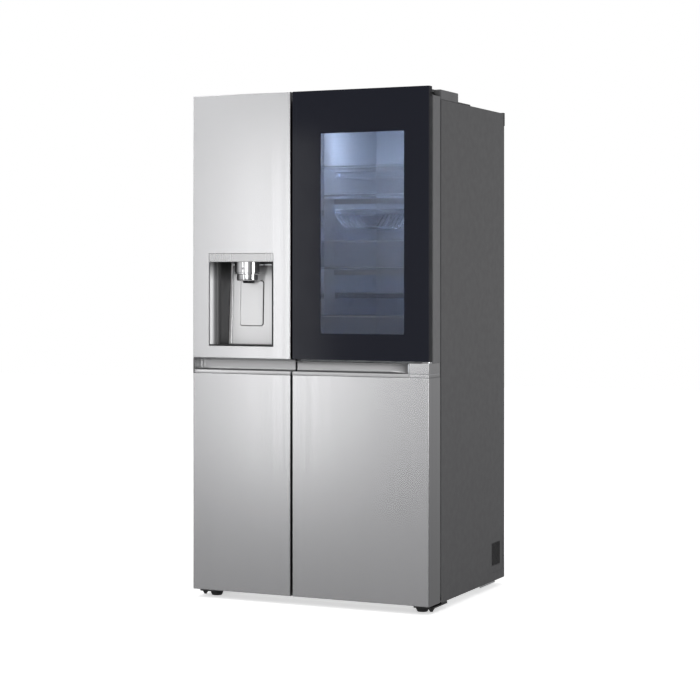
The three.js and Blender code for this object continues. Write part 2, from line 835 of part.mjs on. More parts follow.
function fridgeGripChannel() {
  const x0 = fridgeEdge;
  const sweep = (wall) => {
    const end = gripEnd - gap - wall;
    const rear = front + gripDepth - gap - wall;
    const plan = new THREE.Shape();
    plan.moveTo(x0 + wall, front - wall);
    plan.lineTo(end, front - wall);
    plan.lineTo(end, front);
    plan.quadraticCurveTo(end - 20, rear, gripSweepStart - 4, rear);
    plan.lineTo(x0 + wall, rear);
    return plan;
  };
  const body = alongZ(sweep(0), gripBottom + gap, gripTop - 5 - gap, 8);
  const hollow = alongZ(sweep(3), gripLip, gripTop, 8);
  return cut(body, hollow);
}

// ---- outer glass door ----
const windowLeft = 40;
const windowRight = 374;
const windowBottom = 939;
const windowTop = 1650;
const glassThick = 4;
function outerDoorGlass() {
  const plan = outline([
    [fridgeEdge, front],
    [side - 1.6, front],
    [side - 0.2, front + glassThick],
    [fridgeEdge, front + glassThick],
  ]);
  return alongZ(plan, outerBottom, height);
}

function outerDoorFrame() {
  const y0 = front + glassThick + gap;
  const plan = new THREE.Shape();
  const corner = 5;
  plan.moveTo(fridgeEdge + 0.5, y0);
  plan.lineTo(side, y0);
  plan.lineTo(side, outerRear - corner);
  plan.absarc(side - corner, outerRear - corner, corner, 0, Math.PI / 2);
  plan.lineTo(fridgeEdge + 0.5, outerRear);
  const body = alongZ(plan, outerBottom, height, 4);
  const window = alongY(
    roundedOutline(windowLeft, windowBottom, windowRight, windowTop, 6),
    front,
    0,
    3,
  );
  const notch = block([436, front + 13, 1757], [side + 5, 0, 1770]);
  const lowerBore = rodZ(outerHingeX, outerHingeY, 800, 874, outerPin + 0.3, 16);
  const upperBore = rodZ(outerHingeX, outerHingeY, 1765, 1784, outerPin + 0.3, 16);
  return cut(body, window, notch, lowerBore, upperBore);
}

function outerLowerHinge() {
  const z = gripTop - 5 + gap;
  const plate = alongZ(roundedOutline(424, front + 12, 454, front + 37.5, 4), z, z + 3, 3);
  const pin = rodZ(outerHingeX, outerHingeY, z + 1, 872, outerPin, 16);
  return join(plate, pin);
}

function outerUpperHinge() {
  const z = doorRearTop + gap;
  const thick = 3;
  const eye = rodZ(outerHingeX, outerHingeY, z, z + thick, 7, 24);
  const tongue = block([outerHingeX + 1, outerHingeY, z], [outerHingeX + 7, front + 49, z + thick]);
  const pin = rodZ(outerHingeX, outerHingeY, z + 1, 1782, outerPin, 16);
  return join(eye, tongue, pin);
}

// ---- assembly ----
const cabinet = new THREE.Group();
refrigerator.add(cabinet);
place(cabinet, "outer_case", outerCase(), greySteel());
place(cabinet, "cabinet_foam", cabinetFoam(), foam());
place(cabinet, "rear_panel", rearPanel(), zinc());
place(cabinet, "machine_cover", machineCover(), blackPlastic());
place(cabinet, "base_frame", baseFrame(), zinc());

const lowerDrawer = [112, 360, ledgeFront - 5];
const upperDrawer = [376, 618, cavityRear - 15];
const crisperTop = 640;
const fridgeShelves = { fridge_shelf_upper: 1518, fridge_shelf_middle: 1384, fridge_shelf_lower: 1088 };
const freezerShelf = 1180;
const drawerSide = 8;
const hingeSide = 32; // drawers stand further in here, to clear the open door
const railUnder = 6;

// Rails under the drawers, given the clearance beside them at the left and right walls.
const drawerRails = (left, right) =>
  [lowerDrawer, upperDrawer].map(([z, , back]) => [z - gap, left + railUnder, right + railUnder, back]);
const shelfRail = (top) => [top - 4 - gap, 10, 10, cavityRear - 40];
place(
  cabinet,
  "freezer_liner",
  liner(freezerLeft, freezerRight, [...drawerRails(hingeSide, drawerSide), shelfRail(freezerShelf)]),
  whitePlastic(),
);
const fridgeRails = [
  ...drawerRails(drawerSide, hingeSide),
  ...[crisperTop, ...Object.values(fridgeShelves)].map(shelfRail),
];
place(cabinet, "fridge_liner", liner(fridgeLeft, fridgeRight, fridgeRails), whitePlastic());

const shelfSide = 1.5;
const shelfOf = (x0, x1) => glassShelf(x0 + shelfSide, x1 - shelfSide);
for (const [name, z] of Object.entries(fridgeShelves)) {
  place(cabinet, name, shelfOf(fridgeLeft, fridgeRight), clearPlastic(), [0, 0, z]);
}
place(cabinet, "crisper_cover", shelfOf(fridgeLeft, fridgeRight), clearPlastic(), [0, 0, crisperTop]);
place(cabinet, "freezer_shelf", shelfOf(freezerLeft, freezerRight), clearPlastic(), [0, 0, freezerShelf]);
place(cabinet, "wine_rack", wineRack(), chrome(), [-6, shelfFront + 20, 1370]);

for (const [word, s] of [["left", -1], ["right", 1]]) {
  place(cabinet, word + "_top_hinge", topHinge(s), zinc());
  place(cabinet, word + "_hinge_cover", hingeCover(s), darkPlastic());
  place(cabinet, word + "_bottom_hinge", bottomHinge(s), blackPaint());
  place(cabinet, word + "_front_foot", foot(), blackPlastic(), [s * footX, footY, 0]);
  place(cabinet, word + "_rear_roller", roller(), blackPlastic(), [s * rollerX, rollerY, rollerRadius]);
}

place(cabinet, "side_vent_grille", sideVentGrille(), blackPlastic());
place(cabinet, "compressor", compressor(), blackPaint(), [-220, fanY, machineFloor]);
place(cabinet, "condenser", condenser(), zinc(), [fanX, fanY, machineFloor]);
place(cabinet, "condenser_fan_rotor", fanRotor(), blackPlastic(), [fanX + 24, fanY, fanZ]);

function rearTopCap() {
  const capTop = cabinetTop + 2;
  const capRear = depth / 2;
  const back = block([-side, cabinetRear + gap, capBottom], [side, capRear, capTop]);
  const top = block([-side, cabinetRear - capWrap, cabinetTop + gap], [side, capRear, capTop]);
  const wrapLeft = block([-side, cabinetRear - capWrap, capBottom], [-side + sheet - gap, capRear, capTop]);
  const wrapRight = block([side - sheet + gap, cabinetRear - capWrap, capBottom], [side, capRear, capTop]);
  return join(back, top, wrapLeft, wrapRight);
}
place(cabinet, "rear_top_cap", rearTopCap(), blackPlastic());

const gland = join(
  block([-23.5, cabinetRear - 16, 84.5], [23.5, cabinetRear + 1.5, 125.5]),
  block([-27, cabinetRear + gap, 81], [27, cabinetRear + 3, 129]),
);
const glandHollow = block([-17, cabinetRear - 12, 91], [17, cabinetRear + 8, 119]);
place(cabinet, "power_inlet", cut(gland, glandHollow), blackPlastic());

function addDrawers(prefix, x0, x1) {
  const [lowZ, lowTop, lowBack] = lowerDrawer;
  const [highZ, highTop, highBack] = upperDrawer;
  place(cabinet, prefix + "_drawer_lower", drawer(x0, x1, lowZ, lowTop, lowBack), clearPlastic());
  place(cabinet, prefix + "_drawer_upper", drawer(x0, x1, highZ, highTop, highBack), clearPlastic());
}
addDrawers("crisper", fridgeLeft + drawerSide, fridgeRight - hingeSide);
addDrawers("freezer", freezerLeft + hingeSide, freezerRight - drawerSide);

const freezerDoor = new THREE.Group();
refrigerator.add(freezerDoor);
const gasketBottom = 60;
const gasketTop = 1735;
const gasketFront = doorRear + gap;
const gasketRear = cabinetFront - gap;
place(freezerDoor, "freezer_door_skin", freezerDoorSkin(), steel());
place(freezerDoor, "freezer_door_liner", freezerDoorLiner(), whitePlastic());
place(
  freezerDoor,
  "freezer_door_gasket",
  gasket(-426, gasketBottom, -70, gasketTop, gasketFront, gasketRear, 14),
  rubber(),
);
place(freezerDoor, "freezer_grip_channel", freezerGripChannel(), steel());
place(freezerDoor, "dispenser_housing", dispenserHousing(), greyPlastic());
place(freezerDoor, "dispenser_head", dispenserHead(), chrome());
place(freezerDoor, "dispenser_nozzle", dispenserNozzle(), blackPlastic(), [dispenserX, headY - 4, 1122]);
place(freezerDoor, "dispenser_paddle", dispenserPaddle(), greyPlastic());
place(freezerDoor, "drip_tray", dripTray(), blackPlastic());
const buttonNames = ["dispenser_button_left", "dispenser_button_middle", "dispenser_button_right"];
buttonNames.forEach((name, i) => {
  const face = headY - Math.sqrt(headRadius ** 2 - (Math.abs(buttonX[i]) + buttonRadius) ** 2) - 0.8;
  const cap = rodY(0, 0, 8, 0, buttonRadius, 16);
  place(freezerDoor, name, cap, chrome(), [dispenserX + buttonX[i], face, buttonZ]);
});
const binSide = dykeWall + gap;
const iceLeft = freezerDyke[0] + binSide;
const iceRight = freezerDyke[2] - binSide;
const iceMaker = cut(
  alongX(
    outline([
      [doorRear + gap, 1250],
      [bayRear - 20, 1250],
      [bayRear, 1290],
      [bayRear, 1560],
      [bayRear - 30, 1600],
      [doorRear + gap, 1600],
    ]),
    iceLeft,
    iceRight,
  ),
  block([iceLeft + 3, doorRear + 6, 1390], [iceRight - 3, bayRear - 4, 1570]),
  block([iceLeft + 20, doorRear + 30, 1500], [iceRight - 20, bayRear + 5, 1560]),
);
place(freezerDoor, "ice_maker", iceMaker, whitePlastic());
const binRear = bayRear - 8;
place(
  freezerDoor,
  "freezer_door_bin",
  doorBin(iceLeft, iceRight, 560, 680, doorRear + gap, binRear),
  clearPlastic(),
);

const fridgeDoor = new THREE.Group();
refrigerator.add(fridgeDoor);
place(fridgeDoor, "fridge_door_skin", fridgeDoorSkin(), steel());
place(fridgeDoor, "fridge_door_liner", fridgeDoorLiner(), whitePlastic());
place(
  fridgeDoor,
  "fridge_door_gasket",
  gasket(-56, gasketBottom, 426, gasketTop, gasketFront, gasketRear, 14),
  rubber(),
);
place(fridgeDoor, "fridge_grip_channel", fridgeGripChannel(), steel());
const binTops = [1531, 1272, 1010];
["bay_bin_upper", "bay_bin_middle", "bay_bin_lower"].forEach((name, i) => {
  const [x0, x1] = [bayLeft + gap, bayRight - gap];
  const bin = doorBin(x0, x1, binFloors[i], binTops[i], bayFront + 8, bayRear - 8 - gap);
  place(fridgeDoor, name, bin, clearPlastic());
});
place(
  fridgeDoor,
  "fridge_door_bin",
  doorBin(bayLeft + gap, bayRight - gap, 420, 540, doorRear + gap, binRear),
  clearPlastic(),
);
place(fridgeDoor, "outer_door_lower_hinge", outerLowerHinge(), chrome());
place(fridgeDoor, "outer_door_upper_hinge", outerUpperHinge(), zinc());

const outerDoor = new THREE.Group();
fridgeDoor.add(outerDoor);
place(outerDoor, "outer_door_glass", outerDoorGlass(), blackGlass());
place(outerDoor, "outer_door_frame", outerDoorFrame(), blackPlastic());
place(
  outerDoor,
  "outer_door_gasket",
  gasket(-50, 868, 434, 1750, outerRear + gap, bayFront - gap, 12),
  rubber(),
);

export default refrigerator;
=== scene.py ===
"""The looks of a side-by-side refrigerator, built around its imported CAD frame.

Lengths are millimetres in the frame's own axes until a mesh is made, which turns them into metres.
+X is to the right, the doors face -Y and +Z is up.
"""

import math

import bmesh
import bpy
from mathutils import Matrix, Vector

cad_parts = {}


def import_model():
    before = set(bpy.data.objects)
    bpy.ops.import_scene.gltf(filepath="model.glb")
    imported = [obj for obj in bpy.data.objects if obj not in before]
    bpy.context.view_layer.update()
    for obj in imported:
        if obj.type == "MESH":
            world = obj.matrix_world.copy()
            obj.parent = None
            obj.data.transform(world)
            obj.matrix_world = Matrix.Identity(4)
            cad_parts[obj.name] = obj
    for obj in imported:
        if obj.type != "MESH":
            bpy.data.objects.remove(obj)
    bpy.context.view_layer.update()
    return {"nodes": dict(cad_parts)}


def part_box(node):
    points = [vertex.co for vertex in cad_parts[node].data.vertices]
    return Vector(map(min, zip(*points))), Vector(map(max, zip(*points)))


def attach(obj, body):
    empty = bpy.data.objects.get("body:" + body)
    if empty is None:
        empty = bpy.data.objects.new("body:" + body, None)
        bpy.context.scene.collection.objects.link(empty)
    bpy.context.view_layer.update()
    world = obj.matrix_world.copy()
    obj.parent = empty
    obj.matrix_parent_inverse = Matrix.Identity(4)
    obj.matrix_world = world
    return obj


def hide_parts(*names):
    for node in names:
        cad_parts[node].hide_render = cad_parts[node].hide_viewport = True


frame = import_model()
nodes = frame["nodes"]

MM = 0.001
# clearance between neighbouring pieces
GAP = 0.3
# how far a cutting solid runs past what it cuts
PAST = 9


def box(node):
    """Lowest and highest corner of a CAD node, in millimetres."""
    low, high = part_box(node)
    return [c / MM for c in low], [c / MM for c in high]


def half_way(low, high, axis):
    return (low[axis] + high[axis]) / 2


# ---------------- materials


class Tree:
    """A node tree, with short ways to make nodes and to join them."""

    def __init__(self, tree):
        self.tree = tree

    def node(self, kind, **values):
        made = self.tree.nodes.new(kind)
        for key, value in values.items():
            made.inputs[key.replace("_", " ")].default_value = value
        return made

    def link(self, start, end):
        self.tree.links.new(start, end)

    def ranged(self, source, low, high, start=0.3, end=0.7):
        made = self.node("ShaderNodeMapRange", From_Min=start, From_Max=end, To_Min=low, To_Max=high)
        self.link(source, made.inputs["Value"])
        return made.outputs["Result"]

    def along(self, space, axis, low, high, start, end):
        """Low to high along an axis of a space, between start and end."""
        split = self.node("ShaderNodeSeparateXYZ")
        self.link(space, split.inputs["Vector"])
        return self.ranged(split.outputs[axis], low, high, start, end)

    def ramp(self, share, first, last, between, blue):
        """First to last colour as the share goes from 0 to 1, through (share, grey) stops between."""
        made = self.node("ShaderNodeValToRGB")
        stops = made.color_ramp.elements
        stops[0].color = (*first, 1)
        stops[1].color = (*last, 1)
        for place, tone in between:
            stops.new(place).color = (tone, tone, tone * blue, 1)
        self.link(share, made.inputs["Fac"])
        return made.outputs["Color"]


class Look(Tree):
    """A Principled material with helpers for its procedural detail, in the frame's own space."""

    def __init__(self, name, color, roughness, metallic=0.0, **values):
        self.material = bpy.data.materials.new(name)
        self.material.use_nodes = True
        super().__init__(self.material.node_tree)
        self.shader = self.tree.nodes["Principled BSDF"]
        self.color = (*color, 1.0)
        self.put("Base Color", self.color)
        self.put("Roughness", roughness)
        self.put("Metallic", metallic)
        for key, value in values.items():
            self.put(key.replace("_", " "), value)
        self.space = self.node("ShaderNodeTexCoord").outputs["Object"]
        self.height = None

    def put(self, socket, value):
        self.shader.inputs[socket].default_value = value

    def stretched(self, scale):
        mapping = self.node("ShaderNodeMapping", Scale=scale)
        self.link(self.space, mapping.inputs["Vector"])
        return mapping.outputs["Vector"]

    def noise(self, scale=(1, 1, 1), detail=3.0):
        made = self.node("ShaderNodeTexNoise", Scale=1.0, Detail=detail)
        self.link(self.stretched(scale), made.inputs["Vector"])
        return made.outputs["Fac"]

    def cells(self, scale):
        made = self.node("ShaderNodeTexVoronoi", Scale=1.0)
        self.link(self.stretched(scale), made.inputs["Vector"])
        return made.outputs["Color"]

    def vary_roughness(self, source, low, high):
        self.link(self.ranged(source, low, high), self.shader.inputs["Roughness"])
        return self

    def vary_color(self, source, low, high):
        """Multiplies the base colour by low to high."""
        mix = self.tree.nodes.new("ShaderNodeMix")
        mix.data_type = "RGBA"
        mix.inputs["A"].default_value = [c * low for c in self.color[:3]] + [1]
        mix.inputs["B"].default_value = [min(1, c * high) for c in self.color[:3]] + [1]
        self.link(self.ranged(source, 0, 1), mix.inputs["Factor"])
        self.link(mix.outputs["Result"], self.shader.inputs["Base Color"])
        return self

    def bump(self, source, depth_mm, strength=1.0):
        """Adds a bump of that depth on top of any earlier one."""
        made = self.node("ShaderNodeBump", Strength=strength, Distance=depth_mm * MM)
        self.link(source, made.inputs["Height"])
        if self.height is not None:
            self.link(self.height, made.inputs["Normal"])
        self.height = made.outputs["Normal"]
        self.link(self.height, self.shader.inputs["Normal"])
        return self


def brushed(name, color, low, high, grain=(900, 900, 5), metallic=1.0):
    """Brushed steel, its grain along the axis with the small scale."""
    look = Look(name, color, (low + high) / 2, metallic=metallic)
    broad = look.noise([g * 0.06 for g in grain], detail=1.0)
    look.vary_roughness(broad, low, high)
    look.vary_color(look.noise(grain, detail=2.0), 0.98, 1.02)
    look.bump(look.noise([g * 0.03 for g in grain], detail=1.0), 0.004, 0.3)
    return look.material


def moulded(name, color, roughness, grain=1500, depth=0.03, **values):
    """Injection-moulded plastic: a fine even grain and slight unevenness of gloss."""
    look = Look(name, color, roughness, **values)
    look.vary_roughness(look.noise((14, 14, 14)), roughness - 0.05, roughness + 0.07)
    fine = look.noise((grain, grain, grain), detail=2.0)
    look.vary_color(fine, 0.97, 1.03)
    look.bump(fine, depth, 0.5)
    return look.material


def painted(name, color, roughness, metallic=0.0):
    """Sprayed paint on sheet metal: orange peel over a faint drift of tone."""
    look = Look(name, color, roughness, metallic=metallic)
    look.vary_color(look.noise((600, 600, 4), detail=2.0), 0.97, 1.03)
    look.vary_roughness(look.noise((40, 40, 40)), roughness - 0.03, roughness + 0.04)
    look.bump(look.noise((350, 350, 350), detail=1.0), 0.01, 0.3)
    return look.material


def galvanised(name, color, roughness):
    """Zinc-coated sheet with its spangle."""
    look = Look(name, color, roughness, metallic=0.85)
    spangle = look.cells((170, 170, 170))
    look.vary_color(spangle, 0.96, 1.03)
    look.vary_roughness(spangle, roughness - 0.03, roughness + 0.03)
    look.bump(look.noise((300, 300, 300)), 0.02, 0.4)
    return look.material


def see_through(name, color, alpha, roughness=0.05):
    """Clear plastic or glass with faint flow marks."""
    look = Look(name, color, roughness, Alpha=alpha)
    look.put("IOR", 1.5)
    look.vary_roughness(look.noise((9, 9, 9)), roughness, roughness + 0.06)
    look.bump(look.noise((22, 22, 22), detail=1.0), 0.05, 0.25)
    return look.material


def glowing(name, color, strength):
    """A lamp lens: frosted ribs with light behind them."""
    look = Look(name, color, 0.4, Emission_Color=(*color, 1.0), Emission_Strength=strength)
    look.bump(look.noise((500, 500, 500)), 0.05, 0.4)
    look.vary_roughness(look.noise((30, 30, 30)), 0.35, 0.5)
    return look.material


STEEL = brushed("brushed_steel", (0.72, 0.72, 0.73), 0.245, 0.265)
STEEL_FLAT = brushed("brushed_steel_horizontal", (0.53, 0.53, 0.535), 0.32, 0.38, (6, 900, 900))
SIDE_STEEL = brushed("side_steel", (0.38, 0.38, 0.385), 0.30, 0.36)
BAR_STEEL = brushed("bar_steel", (0.60, 0.60, 0.605), 0.262, 0.276)
# a brighter copy of the brushed steel, its extra brightness a painted highlight for the strip beside the
# dispenser's plate
HIGHLIGHT_STEEL = brushed("highlight_steel", (0.94, 0.94, 0.945), 0.29, 0.31)
CASE = painted("case_paint", (0.062, 0.062, 0.064), 0.42)
DOOR_SIDE = painted("door_side_paint", (0.135, 0.135, 0.14), 0.38, 0.3)
DARK_PLASTIC = moulded("dark_grey_plastic", (0.10, 0.10, 0.103), 0.45)
BLACK_PLASTIC = moulded("black_plastic", (0.012, 0.012, 0.013), 0.45)
BLACK_SATIN = moulded("black_satin_plastic", (0.008, 0.008, 0.011), 0.42, depth=0.01, Specular_IOR_Level=0.2)
GREY_PLASTIC = moulded("grey_plastic", (0.30, 0.30, 0.31), 0.4)
LINER = moulded("liner_plastic", (0.80, 0.83, 0.86), 0.32, grain=160, depth=0.004)
WHITE_TRIM = moulded("white_trim", (0.82, 0.84, 0.86), 0.25, depth=0.01)
RUBBER = moulded("seal_rubber", (0.075, 0.075, 0.08), 0.65, grain=2200)
FOAM = moulded("foam", (0.70, 0.60, 0.36), 0.9, grain=350, depth=0.5)
ZINC = galvanised("zinc_sheet", (0.52, 0.53, 0.54), 0.42)
DARK_ZINC = galvanised("dark_zinc", (0.06, 0.06, 0.062), 0.45)
BLACK_PAINT = painted("black_paint", (0.012, 0.012, 0.012), 0.38)
CLEAR = see_through("clear_plastic", (0.82, 0.90, 1.0), 0.12, 0.06)
SMOKED = see_through("drawer_plastic", (0.72, 0.80, 0.92), 0.22, 0.08)
SHELF_GLASS = see_through("shelf_glass", (0.66, 0.78, 0.86), 0.16, 0.02)
PANE = see_through("tinted_pane", (0.010, 0.011, 0.018), 0.36, 0.02)
INNER_PANE = see_through("inner_pane", (0.03, 0.035, 0.07), 0.10, 0.02)
LAMP_COOL = glowing("lamp_cool", (0.64, 0.74, 1.0), 48.0)
LAMP_DIM = glowing("lamp_dim", (0.70, 0.78, 1.0), 14.0)
LAMP_BLUE = glowing("lamp_blue", (0.16, 0.20, 1.0), 20.0)

# heights, in metres, between which the dispenser's recess falls into shade
RECESS_SHADE = (1.128, 1.190)


def chrome_look():
    look = Look("chrome", (0.86, 0.86, 0.87), 0.12, metallic=1.0)
    look.vary_roughness(look.noise((25, 25, 25)), 0.10, 0.17)
    look.bump(look.noise((60, 60, 60), detail=1.0), 0.03, 0.2)
    return look.material


def black_glass_look():
    look = Look("black_glass", (0.010, 0.011, 0.017), 0.10, Specular_IOR_Level=0.12)
    look.vary_roughness(look.noise((12, 12, 12)), 0.09, 0.13)
    look.bump(look.noise((1.2, 1.2, 0.9), detail=1.0), 0.6, 0.05)
    return look.material


def shaded_plate_look():
    """Brushed silver, with painted shade darkening it toward the top of the recess."""
    look = Look("plate_steel", (0.78, 0.78, 0.785), 0.30, metallic=0.55)
    # painted shade: silver to near black between the RECESS_SHADE heights, for the shadow under the bar and
    # the dome
    share = look.along(look.space, "Z", 0, 1, *RECESS_SHADE)
    between = ((0.3, 0.62), (0.65, 0.28))
    shaded = look.ramp(share, (0.78, 0.78, 0.785), (0.05, 0.05, 0.05), between, 1.01)
    look.link(shaded, look.shader.inputs["Base Color"])
    look.vary_roughness(look.noise((54, 54, 0.3), detail=1.0), 0.295, 0.31)
    look.bump(look.noise((27, 27, 0.15), detail=1.0), 0.004, 0.3)
    return look.material


def shaded_recess_wall_look():
    """Silver with a painted highlight on the rolled front edge that fades into painted shade with depth into
    the recess and toward its top.
    """
    look = Look("recess_wall", (0.5, 0.5, 0.5), 0.34, metallic=0.4)
    front = box("freezer_door_skin")[0][1] * MM
    # painted highlight and painted shade: bright where the roll faces the front, near black a few
    # centimetres into the recess
    share = look.along(look.space, "Y", 0, 1, front, front + 0.075)
    between = ((0.02, 0.60), (0.05, 0.27), (0.11, 0.10), (0.2, 0.085))
    tone = look.ramp(share, (0.80, 0.80, 0.805), (0.075, 0.075, 0.077), between, 1.02)
    # painted shade: the colour is scaled down toward the top of the recess
    shaded = look.node("ShaderNodeVectorMath")
    shaded.operation = "SCALE"
    look.link(tone, shaded.inputs[0])
    look.link(look.along(look.space, "Z", 1, 0.15, *RECESS_SHADE), shaded.inputs["Scale"])
    look.link(shaded.outputs["Vector"], look.shader.inputs["Base Color"])
    look.vary_roughness(look.noise((200, 200, 2), detail=2.0), 0.30, 0.38)
    look.bump(look.noise((30, 30, 1), detail=1.0), 0.004, 0.3)
    return look.material


SHADED_RECESS_WALL = shaded_recess_wall_look()
SHADED_PLATE_STEEL = shaded_plate_look()
CHROME = chrome_look()
BLACK_GLASS = black_glass_look()

# ---------------- mesh tools


def arc(cx, cy, radius, start, end, steps):
    """Points of a circle's arc, angles in degrees."""
    turns = [math.radians(start + (end - start) * i / steps) for i in range(steps + 1)]
    return [(cx + radius * math.cos(t), cy + radius * math.sin(t)) for t in turns]


def rounded(low, high, radius, steps=6):
    """A rounded rectangle's outline, anticlockwise from its lower right."""
    (x0, y0), (x1, y1) = low, high
    r = max(radius, 0.05)
    return (
        arc(x1 - r, y0 + r, r, -90, 0, steps)
        + arc(x1 - r, y1 - r, r, 0, 90, steps)
        + arc(x0 + r, y1 - r, r, 90, 180, steps)
        + arc(x0 + r, y0 + r, r, 180, 270, steps)
    )


def drawn_in(low, high, inset, radius):
    """A rounded rectangle's outline, every side moved in by the inset."""
    return rounded([c + inset for c in low], [c - inset for c in high], radius)


def lift(outline, axis, t):
    """Puts a 2D outline in space, across an axis at distance t along it."""
    if axis == "x":
        return [(t, a, b) for a, b in outline]
    if axis == "y":
        return [(a, t, b) for a, b in outline]
    return [(a, b, t) for a, b in outline]


def add_loops(bm, loops, wrap=False, cap_start=True, cap_end=True, closed=True, material=0):
    """Joins loops of equally many points with quads. Returns the new vertices, loop by loop."""
    rings = [[bm.verts.new(p) for p in loop] for loop in loops]
    pairs = list(zip(rings, rings[1:]))
    if wrap:
        pairs.append((rings[-1], rings[0]))
    for a, b in pairs:
        count = len(a)
        for i in range(count if closed else count - 1):
            j = (i + 1) % count
            face = bm.faces.new((a[i], a[j], b[j], b[i]))
            face.material_index = material
    if cap_start and not wrap:
        bm.faces.new(list(reversed(rings[0]))).material_index = material
    if cap_end and not wrap:
        bm.faces.new(rings[-1]).material_index = material
    return rings


def add_prism(bm, outline, axis, start, end):
    add_loops(bm, [lift(outline, axis, start), lift(outline, axis, end)])


def add_box(bm, low, high, bevel=0.0, segments=2):
    """A box with all its edges rounded."""
    size = [b - a for a, b in zip(low, high)]
    middle = [(a + b) / 2 for a, b in zip(low, high)]
    transform = Matrix.Translation(middle) @ Matrix.Diagonal((*size, 1))
    made = bmesh.ops.create_cube(bm, size=1, matrix=transform)
    if bevel:
        edges = list({e for v in made["verts"] for e in v.link_edges})
        bevel_edges(bm, edges, min(bevel, min(size) * 0.49), segments)


def bevel_edges(bm, edges, offset, segments=3):
    bmesh.ops.bevel(
        bm, geom=edges, offset=offset, segments=segments, profile=0.5, affect="EDGES", clamp_overlap=True
    )


def add_lathe(bm, profile, centre, axis="z", steps=48):
    """Turns (radius, distance along the axis) points about an axis through centre."""
    rings = []
    for radius, t in profile:
        outline = arc(0, 0, max(radius, 0.01), 0, 360 - 360 / steps, steps - 1)
        ring = lift(outline, axis, t)
        rings.append([tuple(a + b for a, b in zip(p, centre)) for p in ring])
    return add_loops(bm, rings)


def add_ring(bm, low, high, profile, corner):
    """Sweeps a closed profile of (inset, Y) points round a rounded rectangle that faces along Y."""
    loops = [lift(drawn_in(low, high, inset, max(corner - inset, 0.6)), "y", y) for inset, y in profile]
    add_loops(bm, loops, wrap=True)


def add_tray(bm, low, high, wall, corner, rim):
    """An open-topped tray with a rolled rim and a radius round its floor."""
    z0, z1 = low[2], high[2]
    side = rim * 0.6
    levels = [
        (side + 2.5, z0),
        (side + 0.8, z0 + 0.8),
        (side, z0 + 2.5),
        (side, z1 - 7),
        (0.3, z1 - 5.5),
        (0, z1 - 1.0),
        (0.8, z1),
        (side + wall + 0.4, z1),
        (side + wall + 1.2, z1 - 0.8),
        (side + wall, z1 - 3),
        (side + wall, z0 + wall + 3),
        (side + wall + 1, z0 + wall + 1),
        (side + wall + 3, z0 + wall),
    ]
    add_loops(bm, [lift(drawn_in(low[:2], high[:2], inset, corner - inset), "z", z) for inset, z in levels])


def mesh_of(bm, name, looks):
    bmesh.ops.recalc_face_normals(bm, faces=bm.faces)
    mesh = bpy.data.meshes.new(name)
    bm.to_mesh(mesh)
    bm.free()
    mesh.transform(Matrix.Scale(MM, 4))
    for look in looks:
        mesh.materials.append(look)
    obj = bpy.data.objects.new(name, mesh)
    bpy.context.scene.collection.objects.link(obj)
    return obj


def shade(obj, angle=32):
    """Smooth shading that keeps flat faces flat and edges over the angle crisp."""
    mesh = obj.data
    mesh.polygons.foreach_set("use_smooth", [True] * len(mesh.polygons))
    mesh.set_sharp_from_angle(angle=math.radians(angle))
    weighted = obj.modifiers.new("Weighted normals", "WEIGHTED_NORMAL")
    weighted.keep_sharp = True
    weighted.weight = 80


def thicken(obj, amount, toward):
    """Gives an open sheet a thickness on the side that the direction points to."""
    faces = obj.data.polygons
    leading = max(faces, key=lambda f: abs(f.normal.dot(Vector(toward))) * f.area)
    thick = obj.modifiers.new("Sheet", "SOLIDIFY")
    thick.thickness = amount * MM
    thick.offset = 1.0 if leading.normal.dot(Vector(toward)) > 0 else -1.0


def ride(obj, body, replaced=()):
    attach(obj, body)
    if replaced:
        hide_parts(*replaced)


def piece(bm, name, looks, body, replaced=(), angle=32):
    """Makes a finished piece of a bmesh and puts it on its body."""
    obj = mesh_of(bm, name, looks if isinstance(looks, list) else [looks])
    shade(obj, angle)
    ride(obj, body, replaced)


def boxes(name, look, body, parts, replaced=()):
    """A piece made of rounded boxes, each (low, high, bevel) with the bevel's segments if not two."""
    bm = bmesh.new()
    for part in parts:
        add_box(bm, *part)
    piece(bm, name, look, body, replaced)


def sheet(name, look, loops, toward, angle, body, replaced=()):
    """A bent sheet: open loops made one millimetre thick on the side that toward points to."""
    obj = mesh_of(lofted(loops, closed=False, cap_start=False, cap_end=False), name, [look])
    thicken(obj, 1.0, toward)
    shade(obj, angle)
    ride(obj, body, replaced)


def carve(bm, cutters):
    """Cuts closed solids, given as bmeshes, out of a closed bmesh."""
    target = mesh_of(bm, "carved", [])
    tools = [mesh_of(c, "cutter", []) for c in cutters]
    for tool in tools:
        cut = target.modifiers.new("cut", "BOOLEAN")
        cut.operation = "DIFFERENCE"
        cut.solver = "EXACT"
        cut.object = tool
    bpy.context.view_layer.update()
    evaluated = target.evaluated_get(bpy.context.evaluated_depsgraph_get())
    made = bmesh.new()
    made.from_mesh(evaluated.to_mesh())
    evaluated.to_mesh_clear()
    for obj in [target, *tools]:
        old = obj.data
        bpy.data.objects.remove(obj)
        bpy.data.meshes.remove(old)
    bmesh.ops.scale(made, vec=(1 / MM,) * 3, verts=made.verts)
    bmesh.ops.remove_doubles(made, verts=made.verts, dist=0.01)
    return made


def solid_box(low, high, bevel=0.0, segments=2):
    bm = bmesh.new()
    add_box(bm, low, high, bevel, segments)
    return bm


def solid_prism(outline, axis, start, end):
    bm = bmesh.new()
    add_prism(bm, outline, axis, start, end)
    return bm


def lofted(loops, **ends):
    bm = bmesh.new()
    add_loops(bm, loops, **ends)
    return bm


def turned(profile, centre, axis="z", steps=48):
    bm = bmesh.new()
    add_lathe(bm, profile, centre, axis, steps)
    return bm


